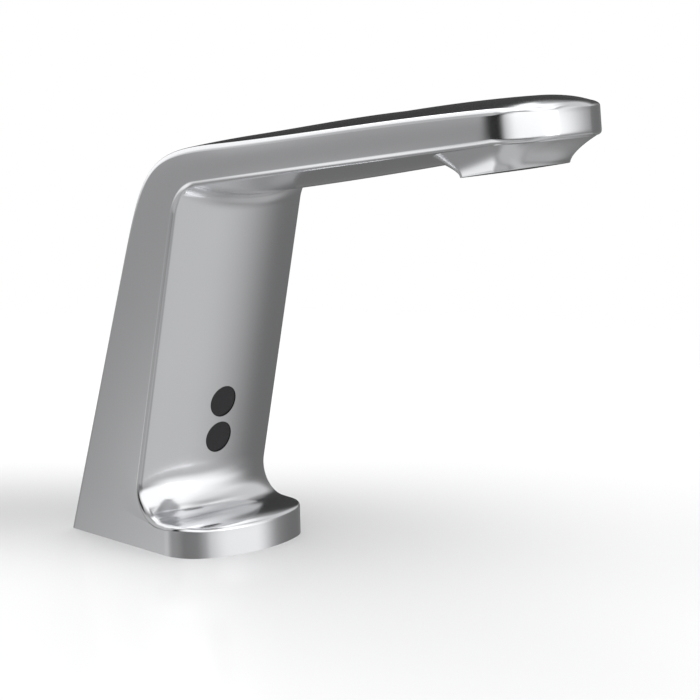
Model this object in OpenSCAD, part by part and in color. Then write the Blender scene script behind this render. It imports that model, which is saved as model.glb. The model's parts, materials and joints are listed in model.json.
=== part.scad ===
/* [Body] */
// Width of the foot and the column
body_w = 54; // [50:0.5:60]
// Radius of the fillet along the long edges
edge_r = 2; // [1.4:0.1:2.6]
// Radius of the bow across the column front
front_bow_r = 73; // [60:1:110]
// Radius of the bow across the back face
back_bow_r = 400; // [250:10:900]
// Wall of the casting
wall = 3; // [2.2:0.1:3.4]
// Lean of the column front from upright, degrees
front_lean = 11.7; // [10:0.1:13]
// Lean of the back face from upright, degrees
back_lean = 17.5; // [16.5:0.1:18]
// Distance from the back edge of the flat side to the column front edge, at the deck
column_depth = 28; // [27:0.1:30]
// Distance from the back edge of the flat side to the deck hole axis
axis_back = 22; // [20:0.5:24]

/* [Foot] */
// Depth of the flat side of the foot at the deck
foot_side_depth = 45.8; // [44:0.1:50]
// Height of the flat side at the front of the foot
foot_side_h = 8.1; // [7.4:0.1:10]
// Plan radius of the front corners of the foot
foot_corner_r = 13.5; // [10:0.5:16]
// Plan radius of the bowed front of the foot
foot_bow_r = 47; // [40:1:70]
// Fall of the top of the foot towards its front, degrees
foot_fall = 2.5; // [1:0.5:5]
// Crown radius across the top of the foot
foot_crown_r = 300; // [200:10:900]
// Radius of the sweep from the foot up into the column
foot_sweep_r = 11; // [8:0.5:14]

/* [Spout] */
// Width of the spout at its nose
nose_w = 39; // [37:0.5:43]
// Distance from the back edge of the flat side to the nose corners
nose_side_t = 177.5; // [170:0.5:190]
// Rise of the underside of the spout, degrees
spout_rise = 10.6; // [9.5:0.1:11.5]
// Height of the corner where the underside edge meets the column edge
inner_corner_z = 119; // [117:0.1:122]
// Radius of the inner corner at the side edge
inner_corner_r = 14; // [11:0.5:17]
// Radius of the bow across the underside
under_bow_r = 77; // [65:1:110]
// Distance from the back edge of the flat side to where the underside starts to flatten out
flat_t = 150; // [145:1:155]
// Radius of the bow across the underside at the nose
flat_bow_r = 2000; // [1000:100:3000]
// Crown radius across the top of the spout
top_bow_r = 110; // [90:1:160]
// Crown radius across the top of the nose
nose_crown_r = 70; // [60:1:110]
// Plan radius of the nose corners
nose_corner_r = 14; // [11:0.5:15]
// Plan radius of the bowed front of the nose
nose_bow_r = 69; // [50:1:90]
// Height of the flat side edge at the top of the nose
nose_top_z = 148.6; // [147:0.1:150.5]
// Height at which the back face starts to turn over
turn_z = 88.7; // [84:0.1:94]
// Height of the shoulder where the turn ends
shoulder_z = 130.9; // [129.5:0.1:132.5]
// Distance of that shoulder from the back edge
shoulder_t = 71.5; // [68:0.5:75]

/* [Outlet] */
// Distance from the back edge of the flat side to the outlet centre
outlet_t = 170.8; // [169:0.1:173]
// Height of the outlet rim at its centre
outlet_z = 131.7; // [131:0.1:133]
// Tilt of the outlet plane, degrees
outlet_tilt = 11.5; // [9.5:0.1:12.5]
// Width of the outlet rim
rim_w = 29.4; // [26:0.2:31]
// Distance from the back edge of the flat side to the back of the rim
rim_back_t = 160.2; // [158:0.1:162]
// Distance from the back edge of the flat side to the front of the rim
rim_front_t = 181.4; // [179:0.1:183]
// Radius of the back corners of the rim
rim_back_r = 2.4; // [2:0.1:4]
// Radius of the front corners of the rim
rim_front_r = 7; // [6:0.5:9]
// Radius of the bowed front of the rim
rim_bow_r = 40; // [30:1:60]
// Radius of the bowed back of the rim
rim_back_bow_r = 400; // [200:10:900]
// Wall of the collar at its rim
rim_wall = 1.6; // [1.4:0.1:2]
// Distance from the outline of the spout in to the edge of the flare
flare_inset = 0.9; // [0.6:0.1:1.4]
// Distance from the back edge of the flat side to where the flare leaves the sides
flare_t = 160; // [157:0.5:162]
// Radius of the back corners of the flare
flare_back_r = 10; // [8:0.5:12]
// Radius of the back edge of the flare
flare_bow_r = 60; // [50:1:80]
// Depth of the open recess under the jet plate
recess_h = 1.2; // [0.8:0.1:1.6]
// Nominal thread diameter of the jet insert
jet_thread_d = 16.5; // [16:0.5:16.5]
// Height above the outlet rim up to which that thread runs
jet_thread_top = 6; // [5.8:0.1:6.4]
// Diameter of the nozzle bush above the jet insert
bush_d = 15.2; // [14:0.1:15.4]
// Height above the outlet rim up to which the bush reaches
bush_top = 16.3; // [16:0.1:16.6]
// Bore of the nozzle bush
bush_bore_d = 9; // [8:0.5:10]
// Thickness of the jet seal
jet_seal_h = 0.5; // [0.4:0.1:0.8]
// Height of the water tube axis above the outlet rim
tube_rise = 11.9; // [11.6:0.1:12.2]

/* [Base plate] */
// Thickness of the base plate
plate_h = 6; // [5.6:0.1:6.4]
// Gap between the base plate and its pocket
plate_gap = 0.25; // [0.2:0.05:0.5]
// Thread diameter of the supply inlet
inlet_thread_d = 10; // [8:0.5:12]
// Distance of the supply inlet to the left of the deck hole axis
inlet_x = 11.8; // [11.5:0.1:12]
// Thread diameter of the two fixing studs
stud_thread_d = 6; // [5:0.5:8]
// Distance of the fixing studs to the right of the deck hole axis
stud_x = 8; // [7:0.5:9]
// Distance between the two fixing studs
stud_pitch = 18; // [16:0.5:20]
// Bore of the cable gland
gland_bore_d = 4.2; // [3:0.1:5]
// Thread diameter of the base plate screws
plate_screw_d = 4; // [3:0.5:4.5]
// Thickness of the gasket under the foot
gasket_h = 1; // [0.8:0.1:1.5]
// Width of the gasket under the foot
gasket_w = 1.6; // [1.2:0.1:1.8]
// Width of the base plate
plate_w = 45.6; // [44:0.1:46]
// Depth of the base plate from front to back
plate_depth = 51.4; // [49:0.1:52]
// Radius of the front corners of the base plate
plate_front_r = 10.5; // [9:0.5:12]

/* [Sensor] */
// Diameter of each sensor lens where it shows
lens_d = 10.4; // [9.5:0.1:10.8]
// Distance between the lens centres
lens_pitch = 12.3; // [11.8:0.1:13]
// Height of the point midway between the lenses
sensor_z = 39.5; // [38:0.5:41]
// Gap round each lens in its hole
lens_gap = 0.05; // [0.03:0.01:0.1]
// Depth by which the lenses sit below the front face
lens_set = 0.45; // [0.4:0.05:0.6]
// Thickness of the gasket behind the front wall
lens_gasket_h = 0.8; // [0.6:0.1:1]
// Width of the sensor housing
sensor_w = 20; // [19:0.5:22]
// Height of the sensor housing
sensor_l = 25; // [24.5:0.1:25.2]
// Depth of the sensor housing
sensor_h = 8; // [7.5:0.1:9]
// Wall of the sensor housing
sensor_wall = 1.4; // [1:0.1:1.8]
// Thickness of the circuit board
board_h = 1.2; // [0.8:0.1:1.6]
// Thread diameter of the sensor screws
sensor_screw_d = 3; // [2.5:0.5:3]

/* [Valve] */
// Outer diameter of the valve body
valve_d = 21; // [20:0.5:22]
// Length of the valve body
valve_l = 16; // [15.5:0.1:16.4]
// Height of the valve axis
valve_z = 21.5; // [21:0.1:22]
// Diameter of the chamber round the seat
chamber_d = 12.8; // [12:0.1:13]
// Depth of the chamber round the seat
chamber_l = 7; // [7:0.1:7.4]
// Bore of the valve seat
seat_bore_d = 5.5; // [4.5:0.1:6]
// Wall of the valve seat
seat_wall = 1.2; // [1:0.1:1.5]
// Thickness of the diaphragm
diaphragm_h = 1; // [0.8:0.1:1.2]
// Length of the bonnet
bonnet_l = 8; // [7.6:0.1:8.4]
// Outer diameter of the plunger tube
tube_d = 9; // [8.6:0.1:9.6]
// Wall of the plunger tube
tube_wall = 0.3; // [0.25:0.05:0.4]
// Radial running gap of the plunger in its tube
plunger_gap = 0.08; // [0.05:0.01:0.1]
// Length of the plunger
plunger_l = 13; // [12:0.1:14]
// Travel of the plunger
plunger_travel = 2; // [1.6:0.1:2.4]
// Length of the fixed core
core_l = 7.5; // [6.5:0.1:8]
// Outer diameter of the coil winding
winding_d = 17; // [16:0.1:17.5]
// Length of the coil bobbin
bobbin_l = 17; // [16:0.1:18]
// Thickness of the bobbin flanges
bobbin_flange = 1.2; // [1:0.1:1.5]
// Wall of the steel yoke
yoke_wall = 1; // [0.8:0.1:1.2]

/* [Water way] */
// Outer diameter of the water tube
water_tube_d = 6.4; // [6:0.1:6.8]
// Bore of the water tube
water_bore_d = 4.6; // [4:0.1:4.8]
// Outer diameter of the outlet spigot of the valve body
spigot_d = 9.4; // [9:0.1:9.6]
// Diameter of the check valve cage
cage_d = 7.1; // [6.8:0.1:7.2]
// Travel of the check valve poppet
poppet_travel = 1.4; // [1:0.1:1.5]
// Diameter of the check valve poppet stem
poppet_stem_d = 2; // [1.6:0.1:2.4]
// Cord diameter of the small O-rings
ring_d = 1.2; // [1:0.1:1.4]

/* [Hidden] */
$fn = 48;
// Overlap of a cut past the face that it opens
cut = 0.5;
// Clearance between parts that touch flat
seat_gap = 0.05;
// Half widths of the column and the nose
half_w = body_w / 2;
nose_half_w = nose_w / 2;
// Half width from the flat side at which a position along the depth is converted to y
function yt(t) = axis_back - t;
function dir2(a) = [cos(a), sin(a)];
function unit2(v) = v / norm(v);
function mix(a, b, k) = a * (1 - k) + b * k;
function smooth(k) = k * k * (3 - 2 * k);
function clamp01(k) = min(1, max(0, k));
// Point where the line from p along d meets the line from q along e
function meet(p, d, q, e) = p + d * ((q[0] - p[0]) * e[1] - (q[1] - p[1]) * e[0]) / (d[0] * e[1] - d[1] * e[0]);
// Arc of radius r that rounds the corner b between directions da (towards a) and dc (towards c)
function corner_arc(b, da, dc, r, n) =
  let (half = acos(da * dc) / 2, run = r / tan(half), c = b + unit2(da + dc) * r / sin(half),
       p = b + da * run - c, q = b + dc * run - c, a0 = atan2(p[1], p[0]), a1 = atan2(q[1], q[0]),
       turn = a1 - a0 > 180 ? a1 - a0 - 360 : a1 - a0 < -180 ? a1 - a0 + 360 : a1 - a0)
  [for (i = [0 : n]) c + r * dir2(a0 + turn * i / n)];
// Cubic curve with end points a, d and handles b, c, and its direction
function curve(a, b, c, d, u) = pow(1 - u, 3) * a + 3 * u * pow(1 - u, 2) * b + 3 * u * u * (1 - u) * c + pow(u, 3) * d;
function curve_dir(a, b, c, d, u) = unit2(pow(1 - u, 2) * (b - a) + 2 * u * (1 - u) * (c - b) + u * u * (d - c));
// Half width of the body at distance t from the back edge
function half_at(t) =
  let (u = max(0, (t - shoulder_t) / (nose_side_t - shoulder_t)))
  half_w - (half_w - nose_half_w) * u * u;
// Section across the body: fillet of radius r, then a bow of radius q, as [x, height] from side to centre
fillet_n = 4;
bow_n = 5;
side_n = fillet_n + bow_n;
cols = 2 * side_n + 1;
function section_at(j, w, r, q) =
  let (a = asin((w - r) / (q - r)), f = (90 - a) * j / fillet_n, g = a * (side_n - j) / bow_n)
  j <= fillet_n ? [w - r + r * cos(f), r * sin(f)] : [q * sin(g), r * cos(a) - q * cos(a) + q * cos(g)];
function bow_height(x, w, r, q) = let (a = asin((w - r) / (q - r))) r * cos(a) - q * cos(a) + sqrt(q * q - x * x);
// One row of the skin: at edge point s, from blends of [direction, fillet, bow, height share, width share]
function row_point(s, parts, j) =
  let (k = j < side_n ? j : cols - 1 - j, w = half_at(s[0]),
       e = [for (p = parts) section_at(k, w, p[1], p[2])],
       x = [for (i = [0 : len(parts) - 1]) e[i][0] * parts[i][4]] * [for (p = parts) 1],
       h = [for (i = [0 : len(parts) - 1]) e[i][1] * parts[i][3]],
       v = [h * [for (p = parts) p[0][0]], h * [for (p = parts) p[0][1]]])
  [j < side_n ? -x : j == side_n ? 0 : x, yt(s[0] + v[0]), s[1] + v[1]];
function row_of(s, parts) = [for (j = [0 : cols - 1]) row_point(s, parts, j)];
// Directions of the edge lines and the outward normals of the faces beside them
col_dir = dir2(90 - front_lean);
col_out = [col_dir[1], -col_dir[0]];
low_dir = dir2(spout_rise);
low_out = [low_dir[1], -low_dir[0]];
foot_dir = dir2(-foot_fall);
foot_out = [-foot_dir[1], foot_dir[0]];
back_dir = dir2(90 - back_lean);
nose_out = dir2(spout_rise - 3.5);
foot_corner = [foot_side_depth, foot_side_h];
col_foot = [column_depth, 0];
inner_corner = meet(col_foot, col_dir, [0, inner_corner_z], [1, 0]);
foot_meet = meet(foot_corner, foot_dir, col_foot, col_dir);
sweep_arc = corner_arc(foot_meet, foot_dir, col_dir, foot_sweep_r, 6);
inner_arc = corner_arc(inner_corner, -col_dir, low_dir, inner_corner_r, 8);
nose_low = inner_corner + low_dir * (nose_side_t - inner_corner[0]) / low_dir[0];
nose_top = [nose_side_t - 0.8, nose_top_z];
shoulder = [shoulder_t, shoulder_z];
turn_start = back_dir * turn_z / back_dir[1];
turn_a = turn_start + back_dir * 35.4;
turn_b = shoulder - dir2(8.8) * 31.9;
turn_n = 14;
top_n = 8;
function turn_at(u) = curve(turn_start, turn_a, turn_b, shoulder, u);
function turn_out(u) = let (d = curve_dir(turn_start, turn_a, turn_b, shoulder, u)) [-d[1], d[0]];
top_run = norm(nose_top - shoulder) / 3;
top_a = shoulder + dir2(8.8) * top_run;
top_b = nose_top - dir2(8.1) * top_run;
function top_at(u) = curve(shoulder, top_a, top_b, nose_top, u);
function top_out(u) = let (d = curve_dir(shoulder, top_a, top_b, nose_top, u)) [-d[1], d[0]];
// Bow radius across the underside at distance t: constant, then flattening out under the nose
function under_bow(t) = let (g = smooth(clamp01((t - flat_t) / (nose_side_t - flat_t))))
  1 / mix(1 / under_bow_r, 1 / flat_bow_r, g);
// Bow radius across the top at distance t: flat over the back, crowned on the spout, more at the nose
function top_bow(t) =
  let (f = smooth(clamp01((t - 35) / 90)), g = clamp01((t - 130) / (nose_side_t - 130)))
  1 / (mix(1 / back_bow_r, 1 / top_bow_r, f) * (1 - g) + g / nose_crown_r);
rim_steps = 6;
nose_steps = 5;
low_steps = 8;
back_steps = 4;
foot_wall_part = [[0.97, 0], foot_corner_r, foot_bow_r, 1, 1];
// Rows of the skin round the side outline, from the foot front up, out along the underside and back over
rows_foot = concat(
  [row_of([foot_side_depth, 0], [[[1, 0], foot_corner_r, foot_bow_r, 1, 1]])],
  [for (i = [0 : rim_steps]) let (b = 90 * i / rim_steps, k = pow(sin(b), 2))
    row_of(foot_corner, [[[0.97, 0], foot_corner_r, foot_bow_r, pow(cos(b), 0.74), 1 - k],
                         [foot_out, edge_r, foot_crown_r, pow(sin(b), 0.74), k]])]);
rows_sweep = [for (i = [0 : 6]) let (u = i / 6, n = unit2(mix(foot_out, col_out, u)))
  row_of(sweep_arc[i], [[n, edge_r, 1 / mix(1 / foot_crown_r, 1 / front_bow_r, smooth(u)), 1, 1]])];
rows_inner = [for (i = [0 : 8]) let (u = i / 8, n = unit2(mix(col_out, low_out, u)))
  row_of(inner_arc[i], [[n, edge_r, mix(front_bow_r, under_bow_r, u), 1, 1]])];
low_start = meet(inner_corner, low_dir, [shoulder_t, 0], [0, 1]);
rows_low = [for (i = [0 : low_steps]) let (s = mix(low_start, nose_low, i / low_steps))
  row_of(s, [[low_out, edge_r, under_bow(s[0]), 1, 1]])];
rows_nose_low = [for (i = [1 : nose_steps]) let (b = 90 * i / nose_steps, k = pow(sin(b), 0.35))
  row_of(nose_low, [[nose_out, nose_corner_r, nose_bow_r, k, k * k],
                    [low_out, edge_r, flat_bow_r, pow(cos(b), 0.8), 1 - k * k]])];
rows_nose_top = [for (i = [0 : nose_steps]) let (b = 90 * i / nose_steps, k = pow(sin(b), 2))
  row_of(nose_top, [[nose_out, nose_corner_r, nose_bow_r, cos(b), 1 - k],
                    [top_out(1), edge_r, top_bow(nose_top[0]), sin(b), k]])];
rows_top = [for (i = [top_n - 1 : -1 : 0]) let (u = i / top_n, s = top_at(u))
  row_of(s, [[top_out(u), edge_r, top_bow(s[0]), 1, 1]])];
rows_turn = [for (i = [turn_n - 1 : -1 : 0]) let (u = i / turn_n, s = turn_at(u))
  row_of(s, [[turn_out(u), edge_r, top_bow(s[0]), 1, 1]])];
rows_back = [for (i = [1 : back_steps]) let (u = i / back_steps, n = mix(turn_out(0), [-1, 0], pow(u, 3)))
  row_of(turn_start * (1 - u), [[n, edge_r, back_bow_r, 1, 1]])];
rows = concat(rows_foot, rows_sweep, rows_inner, rows_low, rows_nose_low, rows_nose_top, rows_top,
              rows_turn, rows_back);
row_n = len(rows);
// Counts of rows up to named places in that list
at_low = len(rows_foot) + 7 + 9;
at_nose_low = at_low + low_steps;
at_nose_top = at_nose_low + nose_steps + 1;
at_top_end = at_nose_top + nose_steps;
at_shoulder = at_top_end + top_n;
// Hollow inside: rings of points, each a front line and a back line across the width
hollow_cols = 7;
hollow_half = [22.5, 22.5, 24, 24];
front_ring = concat(
  [[col_foot, col_out, front_bow_r], [col_foot + col_dir * 10, col_out, front_bow_r],
   [col_foot + col_dir * 13, col_out, front_bow_r], [col_foot + col_dir * 70, col_out, front_bow_r]],
  [for (i = [0 : 8]) let (u = i / 8) [inner_arc[i], unit2(mix(col_out, low_out, u)), mix(front_bow_r, under_bow_r, u)]],
  [for (i = [1 : 6]) let (s = mix(inner_arc[8], mix(low_start, nose_low, 0.83), i / 6)) [s, low_out, under_bow(s[0])]]);
back_ring = concat(
  [for (z = [0, 10, 13.5]) [back_dir * z / back_dir[1], [-1, 0], back_bow_r]],
  [[turn_start, turn_out(0), back_bow_r]],
  [for (i = [0 : 8]) let (u = (i + 1) / 9.5, s = turn_at(u)) [s, turn_out(u), top_bow(s[0])]],
  [for (i = [1 : 6]) let (u = 0.855 * i / 6, s = top_at(u)) [s, top_out(u), top_bow(s[0])]]);
ring_n = len(front_ring);
function ring_half(k, t) = k < 2 ? hollow_half[k] : half_at(t) - wall;
function ring_wall(k) = k < 12 ? wall : wall - 0.5;
function hollow_point(k, j, f) =
  let (s = f[0], w = ring_half(k, s[0]), x = w * (2 * j / (hollow_cols - 1) - 1),
       h = bow_height(x, half_at(s[0]), edge_r, f[2]) - ring_wall(k))
  [x, yt(s[0] + f[1][0] * h), k == 0 ? 0 : s[1] + f[1][1] * h];
hollow_points = [for (k = [0 : ring_n - 1]) for (j = [0 : 2 * hollow_cols - 1])
  j < hollow_cols ? hollow_point(k, j, front_ring[k]) : hollow_point(k, 2 * hollow_cols - 1 - j, back_ring[k])];
// Index of a skin point; rows that turn on the spot share one edge point
function row_lead(k) =
  k > 1 && k <= 1 + rim_steps ? 1 :
  k > at_nose_low && k < at_nose_top ? at_nose_low :
  k > at_nose_top && k <= at_top_end ? at_nose_top : k;
function skin_id(k, j) = (j == 0 || j == cols - 1 ? row_lead(k) : k) * cols + j;
function ring_id(k, j) = row_n * cols + k * 2 * hollow_cols + j % (2 * hollow_cols);
function front_id(j) = skin_id(0, j);
function back_id(j) = skin_id(row_n - 1, j);
function in_front_id(i) = ring_id(0, i);
function in_back_id(i) = ring_id(0, 2 * hollow_cols - 1 - i);
// Triangles of the flat side, zipped between its front edge and its back edge from the deck up
front_path = concat([0, 1], [for (k = [len(rows_foot) : at_low]) k]);
back_path = [for (k = [row_n - 1 : -1 : at_shoulder]) k];
foot_turns = 8;
function edge_gap(a, b) = norm([rows[a][0][1] - rows[b][0][1], rows[a][0][2] - rows[b][0][2]]);
function zip(f, b) =
  let (fe = len(front_path) - 1, be = len(back_path) - 1)
  f == fe && b == be ? [] :
  let (go = b == be || (f < fe && (f < foot_turns ||
         edge_gap(front_path[f + 1], back_path[b]) < edge_gap(front_path[f], back_path[b + 1]))))
  concat([[front_path[f], go ? front_path[f + 1] : back_path[b + 1], back_path[b]]],
         zip(f + (go ? 1 : 0), b + (go ? 0 : 1)));
side_tris = zip(0, 0);
function flip(v) = [for (i = [len(v) - 1 : -1 : 0]) v[i]];
function proper(f) = f[0] != f[1] && f[1] != f[2] && f[0] != f[2];
skin_faces = concat(
  [for (k = [0 : row_n - 2]) for (j = [0 : cols - 2]) for (h = [0, 1])
    let (f = h == 0 ? [skin_id(k, j), skin_id(k + 1, j), skin_id(k + 1, j + 1)]
                    : [skin_id(k, j), skin_id(k + 1, j + 1), skin_id(k, j + 1)])
    if (proper(f)) f],
  [for (q = side_tris) flip([for (k = q) skin_id(k, 0)])],
  [for (q = side_tris) [for (k = q) skin_id(k, cols - 1)]],
  [for (i = [0 : low_steps - 1]) for (h = [0, 1]) let (a = at_low + i, b = at_shoulder - i)
    h == 0 ? [skin_id(a, 0), skin_id(b, 0), skin_id(b - 1, 0)] : [skin_id(a, 0), skin_id(b - 1, 0), skin_id(a + 1, 0)]],
  [for (i = [0 : low_steps - 1]) for (h = [0, 1]) let (a = at_low + i, b = at_shoulder - i, e = cols - 1)
    h == 0 ? [skin_id(a, e), skin_id(b - 1, e), skin_id(b, e)] : [skin_id(a, e), skin_id(a + 1, e), skin_id(b - 1, e)]]);
hollow_faces = concat(
  [for (k = [0 : ring_n - 2]) for (j = [0 : 2 * hollow_cols - 1]) for (h = [0, 1])
    h == 0 ? [ring_id(k, j), ring_id(k, j + 1), ring_id(k + 1, j + 1)]
           : [ring_id(k, j), ring_id(k + 1, j + 1), ring_id(k + 1, j)]],
  [for (j = [0 : hollow_cols - 2]) for (h = [0, 1]) let (m = 2 * hollow_cols, k = ring_n - 1)
    h == 0 ? [ring_id(k, j), ring_id(k, j + 1), ring_id(k, m - 2 - j)]
           : [ring_id(k, j), ring_id(k, m - 2 - j), ring_id(k, m - 1 - j)]]);
deck_faces = concat(
  [for (i = [0 : hollow_cols - 2]) for (m = [0 : 2]) [front_id(3 * i + m), front_id(3 * i + m + 1), in_front_id(i)]],
  [for (i = [0 : hollow_cols - 2]) [in_front_id(i), front_id(3 * i + 3), in_front_id(i + 1)]],
  [for (i = [0 : hollow_cols - 2]) for (m = [0 : 2]) [back_id(3 * i + m + 1), back_id(3 * i + m), in_back_id(i)]],
  [for (i = [0 : hollow_cols - 2]) [in_back_id(i + 1), back_id(3 * i + 3), in_back_id(i)]],
  [[front_id(0), in_front_id(0), in_back_id(0), back_id(0)],
   [front_id(cols - 1), back_id(cols - 1), in_back_id(hollow_cols - 1), in_front_id(hollow_cols - 1)]]);
module casting_skin() polyhedron(
  points = concat([for (r = rows) for (p = r) p], hollow_points),
  faces = concat(skin_faces, hollow_faces, deck_faces), convexity = 10);
// Flared collar round the outlet: an outline is half a loop of [x, t] from the middle of the back edge round
// the back corner, along the side and round the front corner to the middle of the front, then its mirror
function end_depth(w, r, q) = section_at(side_n, w, r, q)[1];
function outline_half(w0, t0, r0, q0, w1, t1, r1, q1) = concat(
  [for (j = [side_n : -1 : 0]) let (e = section_at(j, w0, r0, q0)) [e[0], t0 - e[1]]],
  [for (i = [1 : 3]) let (t = mix(t0, t1, i / 4)) [w0 == w1 ? w0 : half_at(t) - flare_inset, t]],
  [for (j = [0 : side_n]) let (e = section_at(j, w1, r1, q1)) [e[0], t1 + e[1]]]);
function whole(h) = concat([for (p = h) [-p[0], p[1]]], [for (i = [len(h) - 2 : -1 : 1]) h[i]]);
rim_half_w = rim_w / 2;
rim_line = whole(outline_half(
  rim_half_w, rim_back_t + end_depth(rim_half_w, rim_back_r, rim_back_bow_r), rim_back_r, rim_back_bow_r,
  rim_half_w, rim_front_t - end_depth(rim_half_w, rim_front_r, rim_bow_r), rim_front_r, rim_bow_r));
flare_line = whole(outline_half(half_at(flare_t) - flare_inset, flare_t, flare_back_r, flare_bow_r,
  nose_half_w - flare_inset, nose_side_t, nose_corner_r - flare_inset, nose_bow_r - flare_inset));
// Height of the underside of the spout at x, t
function under_z(x, t) =
  let (u = min(t, nose_side_t), h = bow_height(abs(x), half_at(u), edge_r, under_bow(u)),
       s = t - low_out[0] * h, past = max(0, s - nose_side_t))
  inner_corner[1] + (s - past - inner_corner[0]) * low_dir[1] / low_dir[0]
  + past * nose_out[1] / nose_out[0] + low_out[1] * h;
collar_n = len(rim_line);
collar_levels = 6;
flare_lift = 1.2;
flare_sink = 0.4;
function collar_point(i, m) =
  let (a = rim_line[i], b = flare_line[i], u = min(1, m / collar_levels), p = mix(a, b, pow(u, 1.5)))
  [p[0], yt(p[1]), mix(outlet_z + (a[1] - outlet_t) * tan(outlet_tilt), under_z(b[0], b[1]) + flare_sink, u)
   + (m > collar_levels ? flare_lift : 0)];
module collar_shell() polyhedron(
  points = concat([for (m = [0 : collar_levels + 1]) for (i = [0 : collar_n - 1]) collar_point(i, m)],
                  [[0, yt(outlet_t), under_z(0, outlet_t) + 2 * flare_lift]]),
  faces = concat(
    [[for (i = [0 : collar_n - 1]) i]],
    [for (m = [0 : collar_levels]) for (i = [0 : collar_n - 1]) for (h = [0, 1])
      let (a = m * collar_n, b = a + collar_n, j = (i + 1) % collar_n)
      h == 0 ? [a + i, b + i, b + j] : [a + i, b + j, a + j]],
    [for (i = [0 : collar_n - 1]) let (b = (collar_levels + 1) * collar_n)
      [b + i, (collar_levels + 2) * collar_n, b + (i + 1) % collar_n]]),
  convexity = 4);
// Frames
module at_outlet() translate([0, yt(outlet_t), outlet_z]) rotate([-outlet_tilt, 0, 0]) children();
sensor_run = [column_depth + sensor_z * col_dir[0] / col_dir[1], sensor_z];
sensor_bow = bow_height(0, half_w, edge_r, front_bow_r);
sensor_t = sensor_run[0] + sensor_bow * (col_out[0] - col_out[1] * col_dir[0] / col_dir[1]);
module at_sensor() translate([0, yt(sensor_t), sensor_z]) rotate([90 + front_lean, 0, 0]) children();
valve_t = 20.5;
module at_valve() translate([0, yt(valve_t), valve_z]) rotate([0, 90, 0]) children();
// Plan shapes
module round_plan(x, t0, t1, rb, rf, h) linear_extrude(height = h) union() {
  translate([-x, yt(t1) + rf]) square([2 * x, t1 - t0 - rf - rb]);
  translate([-x + rb, yt(t0) - rb]) square([2 * x - 2 * rb, rb]);
  translate([-x + rf, yt(t1)]) square([2 * x - 2 * rf, rf]);
  for (k = [-1, 1]) {
    translate([k * (x - rb), yt(t0) - rb]) circle(r = rb);
    translate([k * (x - rf), yt(t1) + rf]) circle(r = rf);
  }
}
module ring(od, id, h) difference() {
  cylinder(d = od, h = h);
  translate([0, 0, -cut]) cylinder(d = id, h = h + 2 * cut);
}
plate_back = 3.3;
groove_in = plate_w / 2 + 1.5;
// Place along the rim plane, towards the back, of a distance t, and the front corner of the recess
function rim_at(t) = (outlet_t - t) / cos(outlet_tilt);
rim_in_r = rim_front_r - rim_wall;
module body_solid() union() {
  casting_skin();
  collar_shell();
}
screw_x = 18.5;
screw_ts = [9, 31];
boss_top = 12;
module body() color([0.78, 0.79, 0.81]) difference() {
  union() {
    body_solid();
    for (k = [-1, 1]) for (t = screw_ts) translate([k * screw_x, yt(t), plate_h]) cylinder(d = 9, h = boss_top - plate_h);
    at_sensor() for (k = [-1, 1]) translate([k * lug_x, 0, -7]) cylinder(d = 6.5, h = 4.4);
  }
  translate([0, 0, -cut]) round_plan(plate_w / 2 + plate_gap, plate_back - plate_gap,
    plate_back + plate_depth + plate_gap, 3, plate_front_r + plate_gap, plate_h + cut);
  translate([0, 0, -cut]) difference() {
    round_plan(groove_in + gasket_w, plate_back - 1.5 - gasket_w, plate_back + plate_depth + 1.5 + gasket_w,
      3 + 1.5 + gasket_w, plate_front_r + 1.5 + gasket_w, gasket_h + cut);
    translate([0, 0, -cut]) round_plan(groove_in, plate_back - 1.5, plate_back + plate_depth + 1.5, 4.5,
      plate_front_r + 1.5, gasket_h + 3 * cut);
  }
  for (k = [-1, 1]) for (t = screw_ts) translate([k * screw_x, yt(t), 0]) cylinder(d = plate_screw_d, h = boss_top - 1);
  at_sensor() {
    for (k = [-1, 1]) translate([0, k * lens_pitch / 2, -5]) cylinder(d = lens_d + 2 * lens_gap, h = 8);
    translate([-seat_x, -seat_y, -5.2]) cube([2 * seat_x, 2 * seat_y, 5.2 - seat_d]);
    for (k = [-1, 1]) translate([k * lug_x, 0, -7 - cut]) cylinder(d = sensor_screw_d, h = 4 + cut);
  }
  at_outlet() {
    translate([0, 0, -cut]) linear_extrude(height = recess_h + cut) difference() {
      hull() for (k = [-1, 1]) {
        translate([k * (rim_half_w - rim_wall - 2), rim_at(rim_back_t + rim_wall) - 2]) circle(r = 2);
        translate([k * (rim_half_w - rim_wall - rim_in_r), rim_at(rim_front_t - rim_wall) + rim_in_r])
          circle(r = rim_in_r);
      }
    }
    cylinder(d = jet_thread_d, h = jet_thread_top);
    cylinder(d = bush_d + 0.2, h = bush_top + 0.1);
    translate([0, 0, tube_rise]) rotate([-90, 0, 0]) cylinder(d = water_tube_d + 0.6, h = 16);
  }
}
seat_d = 2.9;
seat_x = 10.6;
seat_y = 13.2;
lug_x = 13.5;
module donut(r, d) rotate_extrude() translate([r, 0]) circle(d = d);
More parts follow.
